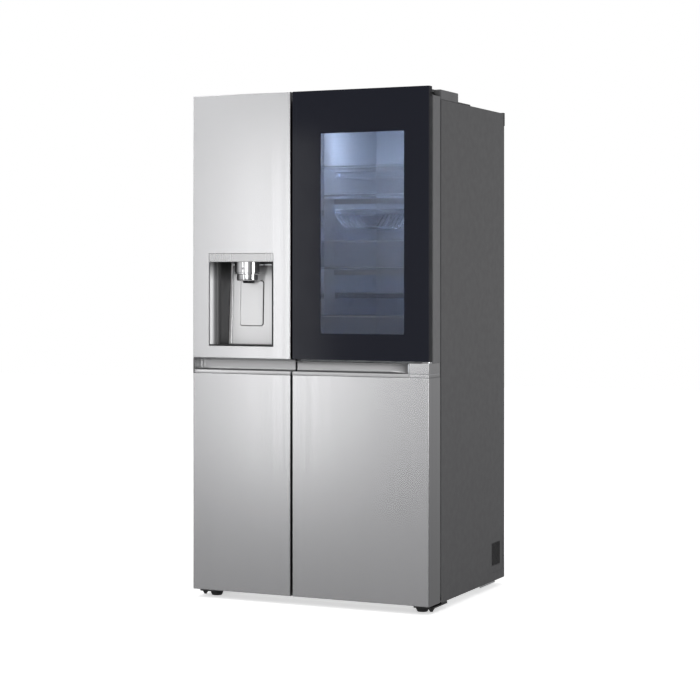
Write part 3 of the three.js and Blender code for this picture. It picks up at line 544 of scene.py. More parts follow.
def wires(name, paths, radius, look, body, replaced=()):
    """Round wire along each path of points, as one curve piece."""
    curve = bpy.data.curves.new(name, "CURVE")
    curve.dimensions = "3D"
    curve.bevel_depth = radius * MM
    curve.bevel_resolution = 3
    curve.use_fill_caps = True
    for path in paths:
        spline = curve.splines.new("POLY")
        spline.points.add(len(path) - 1)
        for point, place in zip(spline.points, path):
            point.co = (*[c * MM for c in place], 1)
        spline.use_smooth = True
    curve.materials.append(look)
    obj = bpy.data.objects.new(name, curve)
    bpy.context.scene.collection.objects.link(obj)
    ride(obj, body, replaced)


def add_screw(bm, x, y, z):
    """A pan-head screw with a small recess, its head facing +Y."""
    profile = [(4.0, 0), (4.0, 0.6), (3.2, 1.5), (1.4, 1.8), (1.2, 0.9), (0, 0.8)]
    add_lathe(bm, profile, (x, y, z), "y", 20)


def dress(node, look, bevel=0.6):
    """Keeps a CAD node's shape, with rounded edges and a finished material."""
    obj = nodes[node]
    for place in obj.material_slots:
        place.material = look
    weld = obj.modifiers.new("Weld", "WELD")
    weld.merge_threshold = 0.02 * MM
    rounding = obj.modifiers.new("Rounded edges", "BEVEL")
    rounding.width = bevel * MM
    rounding.segments = 2
    rounding.limit_method = "ANGLE"
    rounding.angle_limit = math.radians(38)
    rounding.use_clamp_overlap = True
    rounding.harden_normals = False
    weighted = obj.modifiers.new("Weighted normals", "WEIGHTED_NORMAL")
    weighted.weight = 80
    weighted.keep_sharp = True


def cap_ends(node):
    """Gives the upper and lower ends of a door body the dark plastic of their caps."""
    obj = nodes[node]
    obj.data.materials.append(DARK_PLASTIC)
    dark = len(obj.data.materials) - 1
    low = (BOTTOM + 1) * MM
    high = (REAR_TOP - 1) * MM
    for face in obj.data.polygons:
        if face.center.z < low or face.center.z > high:
            face.material_index = dark


# ---------------- shared numbers

SKIN_LOW, SKIN_HIGH = box("freezer_door_skin")
LEFT = SKIN_LOW[0]
FRONT = SKIN_LOW[1]
REAR = SKIN_HIGH[1]
BOTTOM = SKIN_LOW[2]
TOP = SKIN_HIGH[2]
# the freezer door's right edge and the fridge door's left edge
FREEZER_EDGE = SKIN_HIGH[0]
FRIDGE_EDGE = box("fridge_door_skin")[0][0]
RIGHT = -LEFT
REAR_TOP = box("fridge_door_skin")[1][2]
# the doors are taller in front of this Y, up to TOP, than behind it
STEP = FRONT + 38
GRIP_LOW = box("freezer_grip_channel")[0][2]
GRIP_HIGH = box("freezer_grip_channel")[1][2]
GRIP_BACK = box("freezer_grip_channel")[1][1] - FRONT
BLOCK_TOP = box("fridge_grip_channel")[1][2]
# the fridge door's grip loses its depth between these
SWEEP_END = box("fridge_grip_channel")[1][0]
SWEEP_START = SWEEP_END - 94
# thickness of the folded steel
SHEET = 1.4
GRIP_INSET = 0.6
HOUSING_LOW, HOUSING_HIGH = box("dispenser_housing")


# ---------------- doors


def door_panel(outline, x0, x1):
    """A solid of the side view swept across, the rim of its front rounded over."""
    solid = solid_prism(outline, "x", x0, x1)
    bmesh.ops.recalc_face_normals(solid, faces=solid.faces)
    rim = [e for e in solid.edges if all(abs(v.co.y - FRONT) < 0.01 for v in e.verts)]
    rim_radius = 2.4
    bevel_edges(solid, rim, rim_radius, 4)
    return solid


def piece_with_sides(bm, name, body, replaced=()):
    """A steel panel with duller steel on its folded sides and paint on its ends."""
    bm.normal_update()
    for face in bm.faces:
        face.material_index = 0
        if abs(face.normal.x) > 0.9:
            face.material_index = 1
        elif abs(face.normal.z) > 0.9:
            face.material_index = 2
    piece(bm, name, [STEEL, SIDE_STEEL, DOOR_SIDE], body, replaced)


def lower_panel(x0, x1, body):
    """The steel below the pull channel."""
    top = GRIP_LOW - GAP
    solid = door_panel([(FRONT, BOTTOM), (REAR, BOTTOM), (REAR, top), (FRONT, top)], x0, x1)
    low = x0 + SHEET, FRONT + SHEET, BOTTOM - PAST
    inside = solid_box(low, (x1 - SHEET, REAR + PAST, GRIP_LOW - SHEET))
    piece_with_sides(carve(solid, [inside]), body + "_lower_panel", body, [body + "_skin"])


def freezer_upper_panel():
    """The steel above the pull channel, with the opening for the dispenser."""
    z0 = GRIP_HIGH + GAP
    section = [(FRONT, z0), (REAR, z0), (REAR, REAR_TOP), (STEP, REAR_TOP), (STEP, TOP), (FRONT, TOP)]
    solid = door_panel(section, LEFT, FREEZER_EDGE)
    x0, x1 = LEFT + SHEET, FREEZER_EDGE - SHEET
    inside = solid_box((x0, FRONT + SHEET, z0 + SHEET), (x1, REAR + PAST, REAR_TOP + PAST))
    head = solid_box((x0, FRONT + SHEET, REAR_TOP - PAST), (x1, STEP + PAST, TOP + PAST))
    housing = (HOUSING_LOW[0], HOUSING_LOW[2]), (HOUSING_HIGH[0], HOUSING_HIGH[2])
    hatch = solid_prism(drawn_in(*housing, -GAP, 2.0), "y", FRONT - 5, FRONT + 5)
    piece_with_sides(carve(solid, [inside, head, hatch]), "freezer_door_upper_panel", "freezer_door")


def grip_profile(top):
    """Side view of the pull channel as (distance back from the front, height)."""
    low = GRIP_LOW
    back = GRIP_BACK - 1.6
    points = [(7, low), (1.2, low), (0.3, low + 0.8), (0, low + 2.2), (1.0, low + 7), (2.6, low + 11.6)]
    points += [(4.2, low + 13.2), (6.4, low + 13.4), (10, low + 12.2), (24, low + 11.4)]
    points += [(back - 6, low + 13), (back - 2, low + 15.4), (back, low + 20)]
    points += [(back, low + 34), (back, top - 8), (back - 1.5, top - 4), (back - 5, top - 1.8)]
    points += [(16, top - 1.6), (9, top - 1.6)]
    return points


def grip_sheet(name, columns, top, body, replaced):
    """The pull channel: its side view along X, with its depth scaled by each column's share."""
    loops = []
    for x, share in columns:
        loops.append([(x, FRONT + GRIP_INSET + back * share, z) for back, z in grip_profile(top)])
    sheet(name, STEEL_FLAT, loops, (0, 1, 0), 50, body, replaced)


def eased(start, end, power, steps):
    """(x, share) columns from full depth at start to almost none at end."""
    made = []
    for i in range(1, steps + 1):
        t = i / steps
        made.append((start + (end - start) * t, max((1 - t**power) ** (1 / power), 0.02)))
    return made


def grips():
    """The pull channels of both doors and what closes their ends."""
    end_block = 6.0
    fillet = 26.0
    left_end = LEFT + end_block
    fillet_end = left_end + fillet
    columns = list(reversed(eased(fillet_end, left_end, 2.2, 12)))
    columns += [(fillet_end, 1.0), (-260, 1.0), (FREEZER_EDGE, 1.0)]
    grip_sheet("freezer_grip", columns, GRIP_HIGH, "freezer_door", ["freezer_grip_channel"])
    columns = [(FRIDGE_EDGE, 1.0), (120, 1.0), (SWEEP_START, 1.0)]
    columns += eased(SWEEP_START, SWEEP_END, 1.8, 20)
    grip_sheet("fridge_grip", columns, BLOCK_TOP, "fridge_door", ["fridge_grip_channel"])

    behind = FRONT + GRIP_BACK + GAP
    block = (LEFT, FRONT, GRIP_LOW), (left_end - GAP, REAR, GRIP_HIGH), 0.9
    plate = (FREEZER_EDGE - SHEET, behind, GRIP_LOW), (FREEZER_EDGE, REAR, GRIP_HIGH), 0.5
    boxes("freezer_grip_ends", DOOR_SIDE, "freezer_door", [block, plate])
    plate = (FRIDGE_EDGE, behind, GRIP_LOW), (FRIDGE_EDGE + SHEET, REAR, BLOCK_TOP), 0.5
    boxes("fridge_grip_end", DOOR_SIDE, "fridge_door", [plate])

    lip_height = 13.0
    lip_top = GRIP_LOW + lip_height
    for name, z0, z1, hollow_top in (
        ("fridge_grip_block", lip_top, BLOCK_TOP, BLOCK_TOP - SHEET),
        ("fridge_grip_lip_end", GRIP_LOW, lip_top - GAP, lip_top + PAST),
    ):
        solid = solid_box((SWEEP_END + GAP, FRONT, z0), (RIGHT, REAR, z1), 2.0, 3)
        high = RIGHT - SHEET, REAR + PAST, hollow_top
        inside = solid_box((SWEEP_END - PAST, FRONT + 8, z0 - PAST), high)
        piece_with_sides(carve(solid, [inside]), name, "fridge_door")


def door_side_plates():
    """Sides of the fridge door behind the glass door, folded in round its front."""
    fold = 14.0
    radius = 3.0
    y0 = STEP - 1.5
    bm = bmesh.new()
    for sign, edge in ((1, RIGHT), (-1, FRIDGE_EDGE)):
        outer = [(edge - sign * fold, y0)]
        outer += [(edge - sign * inward, y) for inward, y in arc(radius, y0 + radius, radius, 270, 180, 6)]
        outer += [(edge, REAR)]
        inner = [(edge - sign * SHEET, REAR), (edge - sign * SHEET, y0 + 4), (edge - sign * 4, y0 + SHEET)]
        inner += [(edge - sign * fold, y0 + SHEET)]
        add_prism(bm, outer + inner, "z", BLOCK_TOP + GAP, REAR_TOP)
    piece(bm, "fridge_door_side_plates", DOOR_SIDE, "fridge_door")


def gasket_ring(name, body):
    """Door seal: a magnet strip on soft folds."""
    node = body + "_gasket"
    low, high = box(node)
    y0, y1 = low[1], high[1]
    deep = y1 - y0
    wide = 12.0 if deep < 5 else 14.0
    outer = [(0, 0), (0, 0.3), (1.6, 0.38), (0.4, 0.55), (1.8, 0.7), (0.6, 0.9), (2, 1.0)]
    profile = [(i, y0 + t * deep) for i, t in outer]
    profile += [(wide - i, y0 + t * deep) for i, t in reversed(outer)]
    bm = bmesh.new()
    add_ring(bm, (low[0], low[2]), (high[0], high[2]), profile, 6.0)
    piece(bm, name, RUBBER, body, [node], 40)


# ---------------- dispenser

BAR_Z = 1196.7
RECESS_FLOOR = 904.8
# how far the back plate lies behind the door's front, at its top and foot
DEEP_TOP = 78.0
DEEP_BOTTOM = 66.0
STRIP_PROUD = 4.0
PLATE_LEFT = -333.5
# where the rolled side ends, at its top and foot
WALL_END = -341.5
WALL_END_LOW = -346.5
PLATE_RIGHT = HOUSING_HIGH[0] - 6.7
PAD_LOW, PAD_HIGH = box("dispenser_paddle")
PAD_TOP = PAD_HIGH[2] - 5
HEAD_LOW, HEAD_HIGH = box("dispenser_head")
HEAD_X = (HEAD_LOW[0] + HEAD_HIGH[0]) / 2
HEAD_Y = FRONT + 60
UPPER_RADIUS = 52.0
LOWER_RADIUS = 45.0
# height of the groove round the dome
STEP_Z = 1156.0
HEAD_Z = HEAD_LOW[2]


def climb(z):
    """0 at the recess's floor to 1 at the bar over it."""
    return (z - RECESS_FLOOR) / (BAR_Z - RECESS_FLOOR)


def plate_y(z, proud=0.0):
    """The leaning back plate's Y at a height."""
    return FRONT + DEEP_BOTTOM + (DEEP_TOP - DEEP_BOTTOM) * climb(z) - proud


def strip_left(z):
    """The bright strip beside the plate is wider at its foot."""
    return WALL_END_LOW + (WALL_END - WALL_END_LOW) * climb(z)


def rolled_side(z):
    """Plan at a height of the recess's left side, which rolls in from the front."""
    roll = 36.0
    left = HOUSING_LOW[0] + 3.7
    plan = [(left, FRONT + 0.4), *arc(left, FRONT + roll, roll, -84, -12, 14)]
    wall = plate_y(z, STRIP_PROUD)
    plan += [(strip_left(z) - 3.2, wall - 12), (strip_left(z) - 0.5, wall + 3)]
    return [(x, y, z) for x, y in plan]


def right_side(z):
    """Plan at a height of the recess's square right side."""
    corner = ((PLATE_RIGHT - 3, 0), (PLATE_RIGHT - 0.8, -0.8), (PLATE_RIGHT, -3))
    return [(x, plate_y(z) + d, z) for x, d in corner] + [(PLATE_RIGHT, FRONT + 1.4, z)]


def bright_strip(z):
    """Section at a height of the strip between the rolled side and the plate."""
    x0, x1, y = strip_left(z), PLATE_LEFT - 0.3, plate_y(z, STRIP_PROUD)
    section = [(x0, y + 3.5), (x0, y + 0.5), (x0 + 0.5, y), (x1 - 0.6, y), (x1, y + 0.6), (x1, y + 3.5)]
    return [(x, b, z) for x, b in section]


def dispenser_surround():
    heights = [RECESS_FLOOR, RECESS_FLOOR + 60, 1040, BAR_Z - 60, BAR_Z]
    for name, look, side, toward, replaced in (
        ("dispenser_rolled_side", SHADED_RECESS_WALL, rolled_side, (-1, 0, 0), ["dispenser_housing"]),
        # the right side's dark plastic is painted shade for that wall in shadow, which the chrome dome
        # reflects
        ("dispenser_right_side", DARK_PLASTIC, right_side, (1, 0, 0), []),
    ):
        loops = [side(z) for z in heights]
        sheet(name, look, loops, toward, 60, "freezer_door", replaced)
    # the strip's brighter steel is partly a painted highlight on its front-facing edge
    strip = lofted([bright_strip(RECESS_FLOOR), bright_strip(BAR_Z)])
    piece(strip, "dispenser_bright_strip", HIGHLIGHT_STEEL, "freezer_door")


def dispenser_back():
    """The leaning plate with the push pad's opening and the pocket behind it."""
    edge = 1.8
    corner = 9.0
    hole = (PAD_LOW[0] - edge, PAD_LOW[2] - edge), (PAD_HIGH[0] + edge, PAD_TOP + edge)
    plate = rounded((PLATE_LEFT + 0.4, RECESS_FLOOR), (PLATE_RIGHT - 2.6, BAR_Z), 0.1)

    def leaning(outline, back):
        return [(x, plate_y(z) + back, z) for x, z in outline]

    loops = [
        leaning(plate, 1.5),
        leaning(plate, 0.0),
        leaning(drawn_in(*hole, -1.4, corner + 1.4), 0.0),
        leaning(drawn_in(*hole, -0.5, corner + 0.5), 0.4),
        leaning(rounded(*hole, corner), 1.5),
        lift(rounded(*hole, corner), "y", FRONT + 98),
        lift(drawn_in(*hole, 6, 4), "y", FRONT + 98),
    ]
    plate = lofted(loops, cap_start=False)
    piece(plate, "dispenser_back_plate", SHADED_PLATE_STEEL, "freezer_door", angle=40)


def dispenser_bezel():
    """Flush bar over the recess, its sill, right-hand strip, ceiling and floor, and two light trims."""
    x0, z0 = HOUSING_LOW[0], HOUSING_LOW[2]
    x1, z1 = HOUSING_HIGH[0], HOUSING_HIGH[2]
    bar = (x0 + 0.6, FRONT, BAR_Z + 0.2), (x1 - 0.6, FRONT + 11, z1 - 0.6), 1.4, 3
    boxes("dispenser_bar", BAR_STEEL, "freezer_door", [bar])
    # the sill, right-hand strip and ceiling are black plastic that also serves as painted shade along the
    # recess's foot, right edge and top
    sill = (x0 + 0.5, FRONT + 1.2, z0 + 0.4), (x1 - 0.5, FRONT + 7.4, RECESS_FLOOR - 0.2), 0.8
    strip = (PLATE_RIGHT + 0.6, FRONT + 1.0, RECESS_FLOOR), (x1 - 0.5, FRONT + 20, BAR_Z), 0.8
    ceiling = (x0 + 3, FRONT + 11.5, BAR_Z + 1), (x1 - 3, FRONT + 82, BAR_Z + 4), 0.5
    base = (x0 + 3, FRONT + 20.4, z0 + 0.1), (x1 - 3, FRONT + 80, z0 + 1.1), 0.3
    boxes("dispenser_frame", BLACK_PLASTIC, "freezer_door", [sill, strip, ceiling, base])
    # the trims' white is partly a painted highlight, for light caught on the ledges at the plate's top
    z = 1185.0
    beside_dome = 54
    trims = []
    for left, right in ((WALL_END + 2, HEAD_X - beside_dome), (HEAD_X + beside_dome, PLATE_RIGHT - 3)):
        trims.append(((left, plate_y(z, 5), z), (right, plate_y(z, -1), z + 4.5), 0.8))
    boxes("dispenser_top_trim", WHITE_TRIM, "freezer_door", trims)


def front_half(radius, z, back):
    """A D in plan: half a circle to the front and square behind."""
    outline = arc(HEAD_X, HEAD_Y, radius, 180, 360, 40)
    outline += [(HEAD_X + radius, HEAD_Y + back * 0.5), (HEAD_X + radius, HEAD_Y + back)]
    outline += [(HEAD_X - radius, HEAD_Y + back), (HEAD_X - radius, HEAD_Y + back * 0.5)]
    return lift(outline, "z", z)


def dispenser_dome():
    top = HEAD_HIGH[2]
    levels = [
        (UPPER_RADIUS, top),
        (UPPER_RADIUS, STEP_Z + 4.5),
        (UPPER_RADIUS - 0.6, STEP_Z + 3.4),
        (UPPER_RADIUS - 2.2, STEP_Z + 3.0),
        (UPPER_RADIUS - 2.2, STEP_Z + 1.6),
        (UPPER_RADIUS - 0.5, STEP_Z + 1.0),
        (UPPER_RADIUS - 0.5, STEP_Z - 1.0),
        (UPPER_RADIUS - 1.6, STEP_Z - 1.8),
        (LOWER_RADIUS + 1.2, STEP_Z - 2.2),
        (LOWER_RADIUS, STEP_Z - 3.4),
        (LOWER_RADIUS, HEAD_Z + 4.5),
        (LOWER_RADIUS - 1.4, HEAD_Z + 1.4),
        (LOWER_RADIUS - 4.5, HEAD_Z),
        (LOWER_RADIUS - 16, HEAD_Z + 0.4),
    ]
    dome = lofted([front_half(r, z, 26 if z < PAD_HIGH[2] + 3 else 34) for r, z in levels])
    piece(dome, "dispenser_dome", CHROME, "freezer_door", ["dispenser_head"], 28)


def dispenser_nozzle():
    low, high = box("dispenser_nozzle")
    r = (high[0] - low[0]) / 2
    shape = [(r * 0.62, 7), (r * 0.62, 0.8), (r * 0.68, 0), (r * 0.86, 0)]
    shape += [(r * 0.92, 0.8), (r, 8), (r, 9.5), (r * 0.5, 9.5), (r * 0.5, 7.2)]
    nozzle = turned(shape, (half_way(low, high, 0), half_way(low, high, 1), low[2]))
    piece(nozzle, "ice_chute_nozzle", BLACK_SATIN, "freezer_door", ["dispenser_nozzle"])


def dispenser_buttons():
    for word in ("left", "middle", "right"):
        node = "dispenser_button_" + word
        low, high = box(node)
        front = low[1]
        r = (high[0] - low[0]) / 2
        shape = [(0.4, front + 0.5), (r - 1.6, front + 0.35), (r - 1.0, front), (r - 0.4, front + 0.2)]
        shape += [(r, front + 0.8), (r, high[1])]
        cap = turned(shape, (half_way(low, high, 0), 0, half_way(low, high, 2)), "y", 32)
        piece(cap, node + "_cap", GREY_PLASTIC, "button_" + word, [node])


def dispenser_pad():
    low, high = (PAD_LOW[0], PAD_LOW[2]), (PAD_HIGH[0], PAD_TOP)

    def face(inset, back, corner):
        return [(x, plate_y(z) + back, z) for x, z in drawn_in(low, high, inset, corner)]

    bm = bmesh.new()
    add_loops(bm, [face(0.6, 5, 7.5), face(0, 4.4, 8), face(0, -2.0, 8)], cap_end=False, material=1)
    front = [face(0, -2.0, 8), face(0.3, -2.7, 7.7), face(1.0, -3.1, 7)]
    front += [face(2.6, -3.2, 6), face(8, -2.6, 4)]
    add_loops(bm, front, cap_start=False)
    bmesh.ops.remove_doubles(bm, verts=bm.verts, dist=0.01)
    looks = [SHADED_PLATE_STEEL, BLACK_PLASTIC]
    piece(bm, "dispenser_push_pad", looks, "paddle", ["dispenser_paddle"], 24)


def drip_grille():
    low, high = box("drip_tray")
    rear = plate_y(low[2]) - 1.5
    pitch = 8.0
    tools = []
    for i in range(int((high[0] - low[0] - 14) / pitch)):
        x = low[0] + 9 + i * pitch
        tools.append(solid_box((x, low[1] + 7, low[2] + 1.6), (x + 4.4, rear - 6, high[2] + 4)))
    made = carve(solid_box(low, (high[0], rear, high[2]), 1.0), tools)
    piece(made, "drip_grille", BLACK_PLASTIC, "freezer_door", ["drip_tray"])


# ---------------- glass door

GLASS_LOW, GLASS_HIGH = box("outer_door_glass")
FRAME_LOW, FRAME_HIGH = box("outer_door_frame")
WINDOW_LOW = (49.0, 948.0)
WINDOW_HIGH = (365.0, 1641.0)
GLASS_BACK = GLASS_HIGH[1]


def glass_sheet():
    """One sheet of glass: black behind its border, clear and tinted over the window."""
    low, high = (GLASS_LOW[0], GLASS_LOW[2]), (GLASS_HIGH[0], GLASS_HIGH[2])

    def loop(inset, y):
        return lift(drawn_in(low, high, inset, 3.0), "y", y)

    def window(y):
        return lift(rounded(WINDOW_LOW, WINDOW_HIGH, 3.0), "y", y)

    loops = [window(GLASS_BACK), loop(0.4, GLASS_BACK), loop(0, GLASS_BACK - 0.5), loop(0, FRONT + 1.3)]
    loops += [loop(0.35, FRONT + 0.4), loop(1.3, FRONT), window(FRONT)]
    bm = bmesh.new()
    rings = add_loops(bm, loops, cap_start=False, cap_end=False)
    for ring in (list(reversed(rings[0])), rings[-1]):
        bm.faces.new(ring).material_index = 1
    looks = [BLACK_GLASS, PANE]
    piece(bm, "outer_door_glass_sheet", looks, "outer_door", ["outer_door_glass"], 40)


def glass_door_frame():
    """Black frame behind the glass, its outer side slightly crowned."""
    y0, y1 = FRAME_LOW[1], FRAME_HIGH[1]
    x0, x1 = FRAME_LOW[0], FRAME_HIGH[0]
    z0, z1 = FRAME_LOW[2], FRAME_HIGH[2]
    plan = [(x0, y0), (x1 - 1.2, y0), (x1 - 0.4, y0 + 1.6), (x1, y0 + 7), (x1, y0 + 14), (x1 - 0.4, y0 + 20)]
    plan += arc(x1 - 6.4, y1 - 6, 6, 0, 90, 6) + [(x0 + 1, y1), (x0, y1 - 1)]
    opening = drawn_in(WINDOW_LOW, WINDOW_HIGH, -5, 5.0)
    hinge_slot = solid_box((RIGHT - 20.5, FRONT + 13, REAR_TOP - 4), (RIGHT + 5, 0, REAR_TOP + PAST))
    tools = [solid_prism(opening, "y", y0 - 5, y1 + 5), hinge_slot]
    pin_top = box("outer_door_lower_hinge")[1][2]
    for low_z, high_z in ((z0 - 5, pin_top + 2), (REAR_TOP + 4, TOP - 6)):
        profile = [(0.01, low_z), (4.4, low_z), (4.4, high_z), (0.01, high_z)]
        tools.append(turned(profile, (RIGHT - 10, FRONT + 25, 0), steps=24))
    made = carve(solid_prism(plan, "z", z0, z1), tools)
    piece(made, "outer_door_black_frame", BLACK_SATIN, "outer_door", ["outer_door_frame"])


def glazing():
    """Spacer round the window, the inner pane and the bright trim behind it."""
    y = GLASS_BACK
    rect = [c - 4.7 for c in WINDOW_LOW], [c + 4.7 for c in WINDOW_HIGH]
    end = FRAME_HIGH[1] - 0.2
    spacer = [(0, y + 0.5), (4.6, y + 0.5), (4.8, y + 0.9), (4.8, y + 6.8), (4.4, y + 7.2), (0, y + 7.2)]
    trim = [(0.2, y + 11.4), (2.4, y + 11.4), (3.0, y + 12.4), (3.0, end - 0.8), (2.4, end), (0.2, end)]
    for name, profile, slot in (
        ("glazing_spacer", spacer, "grey_plastic"),
        ("window_trim", trim, "white_liner"),
    ):
        bm = bmesh.new()
        add_ring(bm, *rect, profile, 5.0)
        piece(bm, name, CHROME, "outer_door")
    pane = [(0.4, y + 7.6), (0.2, y + 8), (0.2, y + 10.6), (0.4, y + 11)]
    pane = lofted([lift(drawn_in(*rect, inset, 5.0), "y", t) for inset, t in pane])
    piece(pane, "inner_pane", INNER_PANE, "outer_door")


# ---------------- bins, shelves, drawers


def bin_piece(node, body):
    low, high = box(node)
    bm = bmesh.new()
    add_tray(bm, low, high, 2.5, 14.0, 2.4)
    piece(bm, node + "_tray", CLEAR, body, [node])
    return low, high


def bins():
    for word in ("upper", "middle", "lower"):
        low, high = bin_piece("bay_bin_" + word, "fridge_door")
        rim = high[2] - 4.6
        bands = []
        for y, z in ((low[1] + 0.1, rim), (low[1] + 0.5, low[2] + 3), (high[1] - 1.2, rim)):
            bands.append(((low[0] + 15, y, z), (high[0] - 15, y + 1.0, z + 2.6), 0.4))
        boxes("bay_bin_" + word + "_bands", WHITE_TRIM, "fridge_door", bands)
    bin_piece("fridge_door_bin", "fridge_door")
    bin_piece("freezer_door_bin", "freezer_door")


def drawer(node, body):
    """A smoked tray with ribs on its front and a pale handle along its rim."""
    low, high = box(node)
    front = low[1] + 8
    bm = bmesh.new()
    add_tray(bm, (low[0], front, low[2]), high, 3.0, 12.0, 2.6)
    for rise in (30, 42, 54):
        z = low[2] + rise
        add_box(bm, (low[0] + 24, front + 0.4, z), (high[0] - 24, front + 2, z + 2.4), 0.7)
    piece(bm, node + "_box", SMOKED, body, [node])
    z1 = high[2] - 3
    section = [(low[1], z1 - 12), (low[1] + 2, z1 - 14), (front - 0.4, z1 - 10), (front - 0.4, z1)]
    section += [(low[1] + 3, z1), (low[1], z1 - 3)]
    bar = solid_prism(section, "x", low[0] + 20, high[0] - 20)
    piece(bar, node + "_handle", WHITE_TRIM, body)


def shelf(node):
    """A glass plate between a front rail and two pale trims."""
    low, high = box(node)
    top = low[2] + 20
    plate = (low[0] + 2, low[1] + 8, top - 4), (high[0] - 2, high[1] - 6, top - 0.2), 0.7
    boxes(node + "_glass", SHELF_GLASS, "cabinet", [plate], [node])
    rail = (low[0], low[1] + 1.2, low[2]), (high[0], low[1] + 7.6, top - 2.4), 1.6, 3
    boxes(node + "_front_rail", SMOKED, "cabinet", [rail])
    front = (low[0], low[1], top - 2.2), (high[0], low[1] + 7.6, top + 1.8), 1.2, 3
    back = (low[0], high[1] - 5.6, top - 6), high, 1.2
    boxes(node + "_trims", WHITE_TRIM, "cabinet", [front, back])


def smooth_path(points, steps=8):
    """Catmull-Rom points through the given ones."""
    padded = [points[0], *points, points[-1]]
    made = []
    for i in range(len(points) - 1):
        p0, p1, p2, p3 = (Vector(padded[i + k]) for k in range(4))
        for s in range(steps):
            t = s / steps
            square = (2 * p0 - 5 * p1 + 4 * p2 - p3) * t * t
            cube = (3 * p1 - p0 - 3 * p2 + p3) * t**3
            made.append(0.5 * (2 * p1 + (p2 - p0) * t + square + cube))
    return made + [Vector(points[-1])]


def bottle_rack():
    low, high = box("wine_rack")
    x0, x1 = low[0] + 4, high[0] - 4
    top, base = high[2] - 3, low[2] + 3.5
    shape = [(x0, top), (x0 + 22, top - 34), (x0 + 44, base)]
    shape += [(x1 - 44, base), (x1 - 22, top - 34), (x1, top)]
    hoops = 7
    paths = []
    for i in range(hoops):
        y = low[1] + 4 + (high[1] - low[1] - 8) * i / (hoops - 1)
        paths.append(smooth_path([(x, y, z) for x, z in shape]))
    for x, z in ((x0, top), (x1, top), ((x0 + x1) / 2, base - 0.6)):
        paths.append([(x, low[1] + 3, z), (x, high[1] - 3, z)])
    wires("bottle_rack_wires", paths, 2.2, CHROME, "cabinet", ["wine_rack"])


def air_ducts():
    """Moulded duct covers on the rear walls, each with two banks of louvres."""
    rear = box("crisper_drawer_upper")[1][1] + 15
    louvres = 5
    pitch = 14
    for name, x0, x1, z0, z1 in (
        ("fridge_air_duct", 85, 285, 660, 1680),
        ("freezer_air_duct", -330, -170, 700, 1680),
    ):
        parts = [((x0, rear - 7.5, z0), (x1, rear - 0.3, z1), 2.5, 3)]
        for bank in (z0 + 100, z1 - 260):
            for z in range(bank, bank + louvres * pitch, pitch):
                parts.append(((x0 + 24, rear - 9.4, z), (x1 - 24, rear - 6.4, z + 5), 1.0))
        boxes(name, WHITE_TRIM, "cabinet", parts)


def lamps():
    """A ceiling lamp in each compartment and two upright strips at the fridge's mouth."""
    wall = 2.2
    low, high = box("fridge_liner")
    x0, x1 = low[0] + wall, high[0] - wall
    lens, seat = high[2] - wall - 7, high[2] - wall - 0.3
    centre = half_way(*box("freezer_liner"), 0)
    strip_front, strip_rear = -228, -206
    for name, look, *part in (
        ("fridge_ceiling_lamp", LAMP_COOL, (x0 + 110, -130, lens), (x1 - 110, -60, seat), 2.0, 3),
        ("fridge_left_light", LAMP_COOL, (x0 + 0.3, strip_front, 1380), (x0 + 4, strip_rear, 1670), 1.2),
        ("fridge_right_light", LAMP_BLUE, (x1 - 4, strip_front, 1200), (x1 - 0.3, strip_rear, 1500), 1.2),
        ("freezer_ceiling_lamp", LAMP_DIM, (centre - 70, -130, lens), (centre + 70, -70, seat), 2.0, 3),
    ):
        boxes(name, look, "cabinet", [part])


def ice_maker():
    """The CAD bin with a raised frame and a grip on the face toward the compartment."""
    dress("ice_maker", LINER, 1.2)
    low, high = box("ice_maker")
    face = high[1] + 0.2
    z0, z1 = low[2] + 60, low[2] + 235
    ring = [(0, face), (1.2, face + 2), (5, face + 2), (6, face)]
    bm = bmesh.new()
    add_ring(bm, (low[0] + 14, z0), (high[0] - 14, z1), ring, 8.0)
    x = half_way(low, high, 0)
    add_box(bm, (x - 22, face, z1 - 28), (x + 22, face + 5.8, z1 - 14), 2.0)
    piece(bm, "ice_maker_door_trim", GREY_PLASTIC, "freezer_door")


# ---------------- cabinet

CASE_LOW, CASE_HIGH = box("outer_case")
CASE_FRONT = CASE_LOW[1]
CASE_REAR = CASE_HIGH[1]
CASE_BOTTOM = CASE_LOW[2]
CASE_TOP = CASE_HIGH[2] - 4
VENT_LOW, VENT_HIGH = box("side_vent_grille")


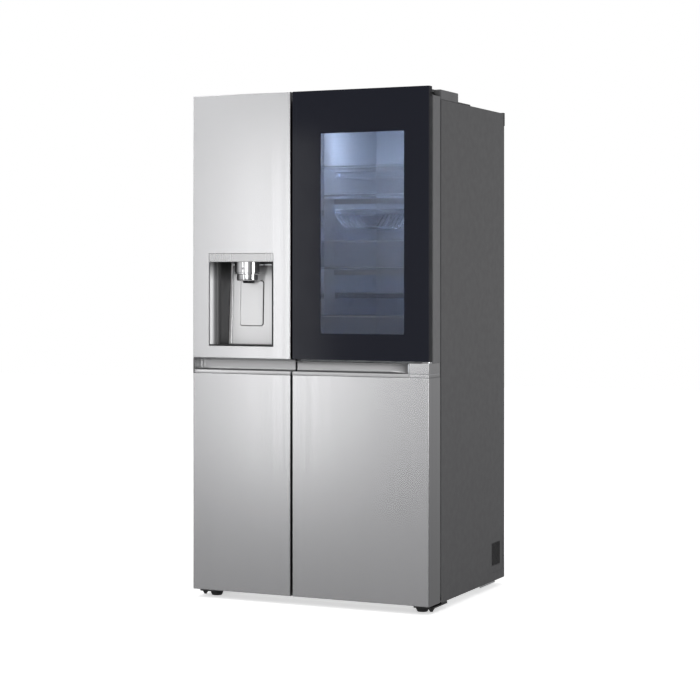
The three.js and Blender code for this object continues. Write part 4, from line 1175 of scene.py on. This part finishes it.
def case_shell():
    """The folded steel case, open behind and below, with the liners' mouths and the side vent cut in."""
    solid = solid_box((LEFT, CASE_FRONT, CASE_BOTTOM), (RIGHT, CASE_REAR, CASE_TOP), 3.2, 3)
    x0, x1, y0 = LEFT + SHEET, RIGHT - SHEET, CASE_FRONT + SHEET
    before, behind = CASE_FRONT - 5, CASE_FRONT + 5
    tools = [solid_box((x0, y0, CASE_BOTTOM - PAST), (x1, CASE_REAR + PAST, CASE_TOP - SHEET))]
    for node in ("freezer_liner", "fridge_liner"):
        low, high = box(node)
        mouth = (low[0] - GAP, before, low[2] - GAP), (high[0] + GAP, behind, high[2] + GAP)
        tools.append(solid_box(*mouth))
    tools.append(solid_box((x0, before, 0), (x1, behind, 52)))
    vent = [c - GAP for c in VENT_LOW[1:]], [c + GAP for c in VENT_HIGH[1:]]
    tools.append(solid_box((RIGHT - 5, *vent[0]), (RIGHT + 5, *vent[1])))
    recess = rounded((VENT_LOW[1] - 34, 57), (VENT_HIGH[1] + 26, 190), 9.0)
    tools.append(solid_prism(recess, "x", RIGHT - 0.7, RIGHT + 5))
    cap_low = box("rear_top_cap")[0]
    for x in (LEFT, RIGHT):
        corner = (x - 1.7, cap_low[1] - GAP, cap_low[2] - GAP), (x + 1.7, CASE_REAR + 5, CASE_TOP + 5)
        tools.append(solid_box(*corner))
    piece(carve(solid, tools), "cabinet_case", CASE, "cabinet", ["outer_case"], 25)
    y = box("right_hinge_cover")[1][1] + 2
    strip = (LEFT + 1, y, CASE_TOP + 0.1), (RIGHT - 1, y + 115, CASE_TOP + 4), 1.6, 3
    boxes("cabinet_raised_strip", CASE, "cabinet", [strip])


def side_vent():
    """A plate of small square holes."""
    border = 3.0
    across, up = 13, 18
    hole_share = 0.62

    def lines(low, high, count):
        pitch = (high - low - 2 * border) / count
        bar = pitch * (1 - hole_share) / 2
        made = [low, low + border]
        for i in range(count):
            start = low + border + i * pitch
            made += [start + bar, start + pitch - bar]
        return made + [high - border, high]

    ys = lines(VENT_LOW[1], VENT_HIGH[1], across)
    zs = lines(VENT_LOW[2], VENT_HIGH[2], up)
    bm = bmesh.new()
    grid = [[bm.verts.new((VENT_HIGH[0], y, z)) for z in zs] for y in ys]
    for i in range(len(ys) - 1):
        for j in range(len(zs) - 1):
            if i % 2 == 0 and j % 2 == 0 and 0 < i < len(ys) - 2 and 0 < j < len(zs) - 2:
                continue
            bm.faces.new((grid[i][j], grid[i + 1][j], grid[i + 1][j + 1], grid[i][j + 1]))
    obj = mesh_of(bm, "side_vent_plate", [BLACK_PLASTIC])
    thick = obj.modifiers.new("Plate", "SOLIDIFY")
    thick.thickness = (VENT_HIGH[0] - VENT_LOW[0]) * MM
    thick.offset = -1.0
    ride(obj, "cabinet", ["side_vent_grille"])


def hinge_cover(word, sign):
    """A hollow moulded cover with a nose over the door; sign is 1 on the right and -1 on the left."""
    node = word + "_hinge_cover"
    low, high = box(node)
    inner = low[0] if sign > 0 else high[0]
    nose_left, nose_right = sorted((inner, sign * (RIGHT - 24)))
    wall = 2.4
    # height of the mouth in the cover's front
    top = REAR_TOP + 9
    lip = top + 8
    below = low[2] - 20
    solid = solid_box((low[0], CASE_FRONT + 1, low[2] - 8), high, 3.0, 3)
    tools = [
        solid_box((low[0] - 5, CASE_FRONT - 5, below), (high[0] + 5, high[1] + 5, low[2])),
        solid_box((low[0] + wall, CASE_FRONT + 4, below), [c - wall for c in high]),
        solid_box((nose_left + wall, CASE_FRONT - 5, below), (nose_right - wall, CASE_FRONT + 20, top)),
    ]
    piece(carve(solid, tools), node + "_body", DARK_PLASTIC, "cabinet", [node])
    back = CASE_FRONT + 0.7
    nose = (nose_left, low[1], lip), (nose_right, back, high[2]), 2.0, 3
    boxes(node + "_nose", DARK_PLASTIC, "cabinet", [nose])
    # the black band under the nose is painted shade for the dark gap between the nose and the door's top
    under = (nose_left + 1.5, low[1] + 2.5, top), (nose_right - 1.5, back, lip - GAP), 1.0
    boxes(node + "_nose_shade_band", BLACK_PLASTIC, "cabinet", [under])


def foot(word):
    """A levelling foot: a knob with a notched rim on a stud."""
    low, high = box(word + "_front_foot")
    profile = [(0.01, 0), (15.5, 0), (17.2, 0.3), (18.4, 1.6), (20.2, 6), (21.8, 8.4), (22.3, 9.6)]
    profile += [(22.3, 14.2), (21.2, 15.4), (9, 15.9), (6, 16.4), (6, 27.6), (5.4, 28), (0.01, 28)]
    axis = Vector((half_way(low, high, 0), half_way(low, high, 1), 0))
    bm = bmesh.new()
    rings = add_lathe(bm, profile, axis, steps=72)
    for ring in rings[5:9]:
        for i, vert in enumerate(ring):
            if i % 4 < 2:
                vert.co = axis + (vert.co - axis) * 0.965 + Vector((0, 0, vert.co.z * 0.035))
    piece(bm, word + "_foot_knob", BLACK_PLASTIC, word + "_foot", [word + "_front_foot"])


def roller(word):
    """A rear wheel, dished on both faces."""
    node = word + "_rear_roller"
    low, high = box(node)
    x0 = low[0]
    radius = (high[2] - low[2]) / 2
    profile = [(4.4, x0 + 2), (7, x0 + 0.4), (9, x0 + 0.4), (10, x0 + 2.5), (16, x0 + 3), (17, x0 + 1)]
    profile += [(20, x0), (radius - 0.6, x0 + 0.8), (radius, x0 + 2.4)]
    profile += [(r, low[0] + high[0] - t) for r, t in reversed(profile)]
    y, z = half_way(low, high, 1), half_way(low, high, 2)
    wheel = lofted([lift(arc(y, z, r, 0, 352.5, 47), "x", t) for r, t in profile], wrap=True)
    piece(wheel, node + "_wheel", BLACK_PLASTIC, word + "_roller", [node])


def rear_details():
    """Screws round the back panel and the machine cover, and the inlet's three pins."""
    bm = bmesh.new()
    for z in (230, 620, 1010, 1400, 1690):
        for x in (-440, 440):
            add_screw(bm, x, CASE_REAR + 0.3, z)
    for x in (-430, -60, 60, 430):
        for z in (178, 42):
            add_screw(bm, x, CASE_REAR + 0.4, z)
    piece(bm, "rear_screws", ZINC, "cabinet")
    low, high = box("power_inlet")
    centre = half_way(low, high, 2)
    pins = []
    for x, z in ((-7, centre - 3), (7, centre - 3), (0, centre + 5)):
        pins.append(((x - 1, high[1] - 16, z - 3), (x + 1, high[1] - 3, z + 3), 0.5))
    boxes("inlet_pins", CHROME, "cabinet", pins)


def dressed_nodes():
    """The pieces that keep the CAD shape, each with its material and edge rounding."""
    for look, bevel, *names in (
        (FOAM, 0.5, "cabinet_foam"),
        (ZINC, 0.3, "condenser"),
        (ZINC, 0.5, "rear_panel"),
        (ZINC, 0.6, "base_frame"),
        (LINER, 0.9, "freezer_liner", "fridge_liner"),
        (LINER, 1.0, "freezer_door_liner", "fridge_door_liner"),
        (DARK_ZINC, 0.6, "left_top_hinge", "right_top_hinge"),
        (DARK_ZINC, 0.4, "outer_door_upper_hinge"),
        (CHROME, 0.4, "outer_door_lower_hinge"),
        (BLACK_PAINT, 0.6, "left_bottom_hinge", "right_bottom_hinge"),
        (BLACK_PAINT, 0.8, "compressor"),
        (BLACK_PLASTIC, 0.5, "condenser_fan_rotor"),
        (BLACK_PLASTIC, 0.6, "machine_cover"),
        (BLACK_PLASTIC, 0.8, "rear_top_cap", "power_inlet"),
    ):
        for node in names:
            dress(node, look, bevel)
    for node in ("freezer_door_liner", "fridge_door_liner"):
        cap_ends(node)


# ---------------- stage


def floor():
    bm = bmesh.new()
    half_width = 12000
    bmesh.ops.create_grid(bm, x_segments=2, y_segments=2, size=half_width)
    look = Look("floor", (0.92, 0.92, 0.92), 0.8, Emission_Color=(1, 1, 1, 1), Emission_Strength=0.56)
    look.vary_roughness(look.noise((5, 5, 5)), 0.75, 0.9)
    obj = mesh_of(bm, "studio_floor", [look.material])
    obj.visible_glossy = False
    obj.visible_shadow = False


def world():
    """White to the eye, and to reflections a soft room, darker below the horizon and at two sides."""
    made = bpy.data.worlds.new("studio")
    bpy.context.scene.world = made
    made.use_nodes = True
    made.node_tree.nodes.clear()
    tree = Tree(made.node_tree)
    eye = tree.node("ShaderNodeBackground", Color=(1, 1, 1, 1))
    room = tree.node("ShaderNodeBackground")
    space = tree.node("ShaderNodeTexCoord").outputs["Generated"]
    height = tree.along(space, "Z", 0, 1, -1, 1)
    between = [(0.25, 0.30), (0.37, 0.17), (0.44, 0.42), (0.475, 0.72)]
    between += [(0.50, 0.82), (0.55, 0.64), (0.62, 0.60)]
    tree.link(tree.ramp(height, (0.42,) * 3, (1.0,) * 3, between, 1.01), room.inputs["Color"])
    steady = tree.node("ShaderNodeValue")
    strength = steady.outputs["Value"]
    strength.default_value = 0.78
    for direction, side_share in (((0.906, -0.423, 0), 0.25), ((-0.966, 0.259, 0), 0.3)):
        toward = tree.node("ShaderNodeVectorMath")
        toward.operation = "DOT_PRODUCT"
        toward.inputs[1].default_value = direction
        tree.link(space, toward.inputs[0])
        product = tree.node("ShaderNodeMath")
        product.operation = "MULTIPLY"
        tree.link(strength, product.inputs[0])
        tree.link(tree.ranged(toward.outputs["Value"], 1.0, side_share, 0.62, 0.9), product.inputs[1])
        strength = product.outputs["Value"]
    tree.link(strength, room.inputs["Strength"])
    mix = tree.node("ShaderNodeMixShader")
    tree.link(tree.node("ShaderNodeLightPath").outputs["Is Camera Ray"], mix.inputs["Fac"])
    tree.link(room.outputs["Background"], mix.inputs[1])
    tree.link(eye.outputs["Background"], mix.inputs[2])
    tree.link(mix.outputs["Shader"], tree.node("ShaderNodeOutputWorld").inputs["Surface"])


def softbox(name, place, target, size, power):
    light = bpy.data.lights.new(name, "AREA")
    light.shape = "RECTANGLE"
    light.size, light.size_y = size
    light.energy = power
    obj = bpy.data.objects.new(name, light)
    bpy.context.scene.collection.objects.link(obj)
    obj.visible_camera = False
    obj.location = place
    obj.rotation_euler = (Vector(target) - Vector(place)).to_track_quat("-Z", "Y").to_euler()


def lights():
    softbox("band", (-2.80, -5.73, 0.97), (-0.1, -0.37, 0.97), (0.42, 2.25), 7.9)
    softbox("front", (0.25, -7.4, 1.35), (-0.2, -0.37, 1.05), (2.4, 1.9), 26.2)
    softbox("key", (-4.6, -4.2, 3.8), (0, -0.3, 1.1), (2.6, 2.6), 60)
    softbox("side", (2.5, -1.9, 1.0), (0.45, -0.05, 0.85), (0.8, 1.0), 10)
    softbox("top", (0.0, -0.6, 5.0), (0, 0, 0), (4.0, 4.0), 70)


def camera():
    data = bpy.data.cameras.new("camera")
    data.lens = 95.82
    data.sensor_width = 36.0
    data.shift_x = -0.0201
    data.shift_y = -0.1051
    data.clip_end = 100
    obj = bpy.data.objects.new("camera", data)
    bpy.context.scene.collection.objects.link(obj)
    obj.location = (2.8755, -6.1699, 1.1457)
    obj.rotation_euler = (math.radians(90), 0, math.radians(24.625))
    bpy.context.scene.camera = obj
    bpy.context.scene.view_settings.view_transform = "Standard"
    bpy.context.scene.cycles.transparent_max_bounces = 48


# ---------------- build

camera()
floor()
world()
lights()
lower_panel(LEFT, FREEZER_EDGE, "freezer_door")
lower_panel(FRIDGE_EDGE, RIGHT, "fridge_door")
freezer_upper_panel()
grips()
door_side_plates()
gasket_ring("freezer_seal", "freezer_door")
gasket_ring("fridge_seal", "fridge_door")
gasket_ring("outer_door_seal", "outer_door")
dispenser_surround()
dispenser_back()
dispenser_bezel()
dispenser_dome()
dispenser_nozzle()
dispenser_buttons()
dispenser_pad()
drip_grille()
glass_sheet()
glass_door_frame()
glazing()
bins()
drawer("crisper_drawer_lower", "crisper_lower")
drawer("crisper_drawer_upper", "crisper_upper")
drawer("freezer_drawer_lower", "frozen_lower")
drawer("freezer_drawer_upper", "frozen_upper")
for word in ("upper", "middle", "lower"):
    shelf("fridge_shelf_" + word)
shelf("crisper_cover")
shelf("freezer_shelf")
bottle_rack()
air_ducts()
lamps()
ice_maker()
case_shell()
side_vent()
for word, sign in (("left", -1), ("right", 1)):
    hinge_cover(word, sign)
    foot(word)
    roller(word)
rear_details()
dressed_nodes()
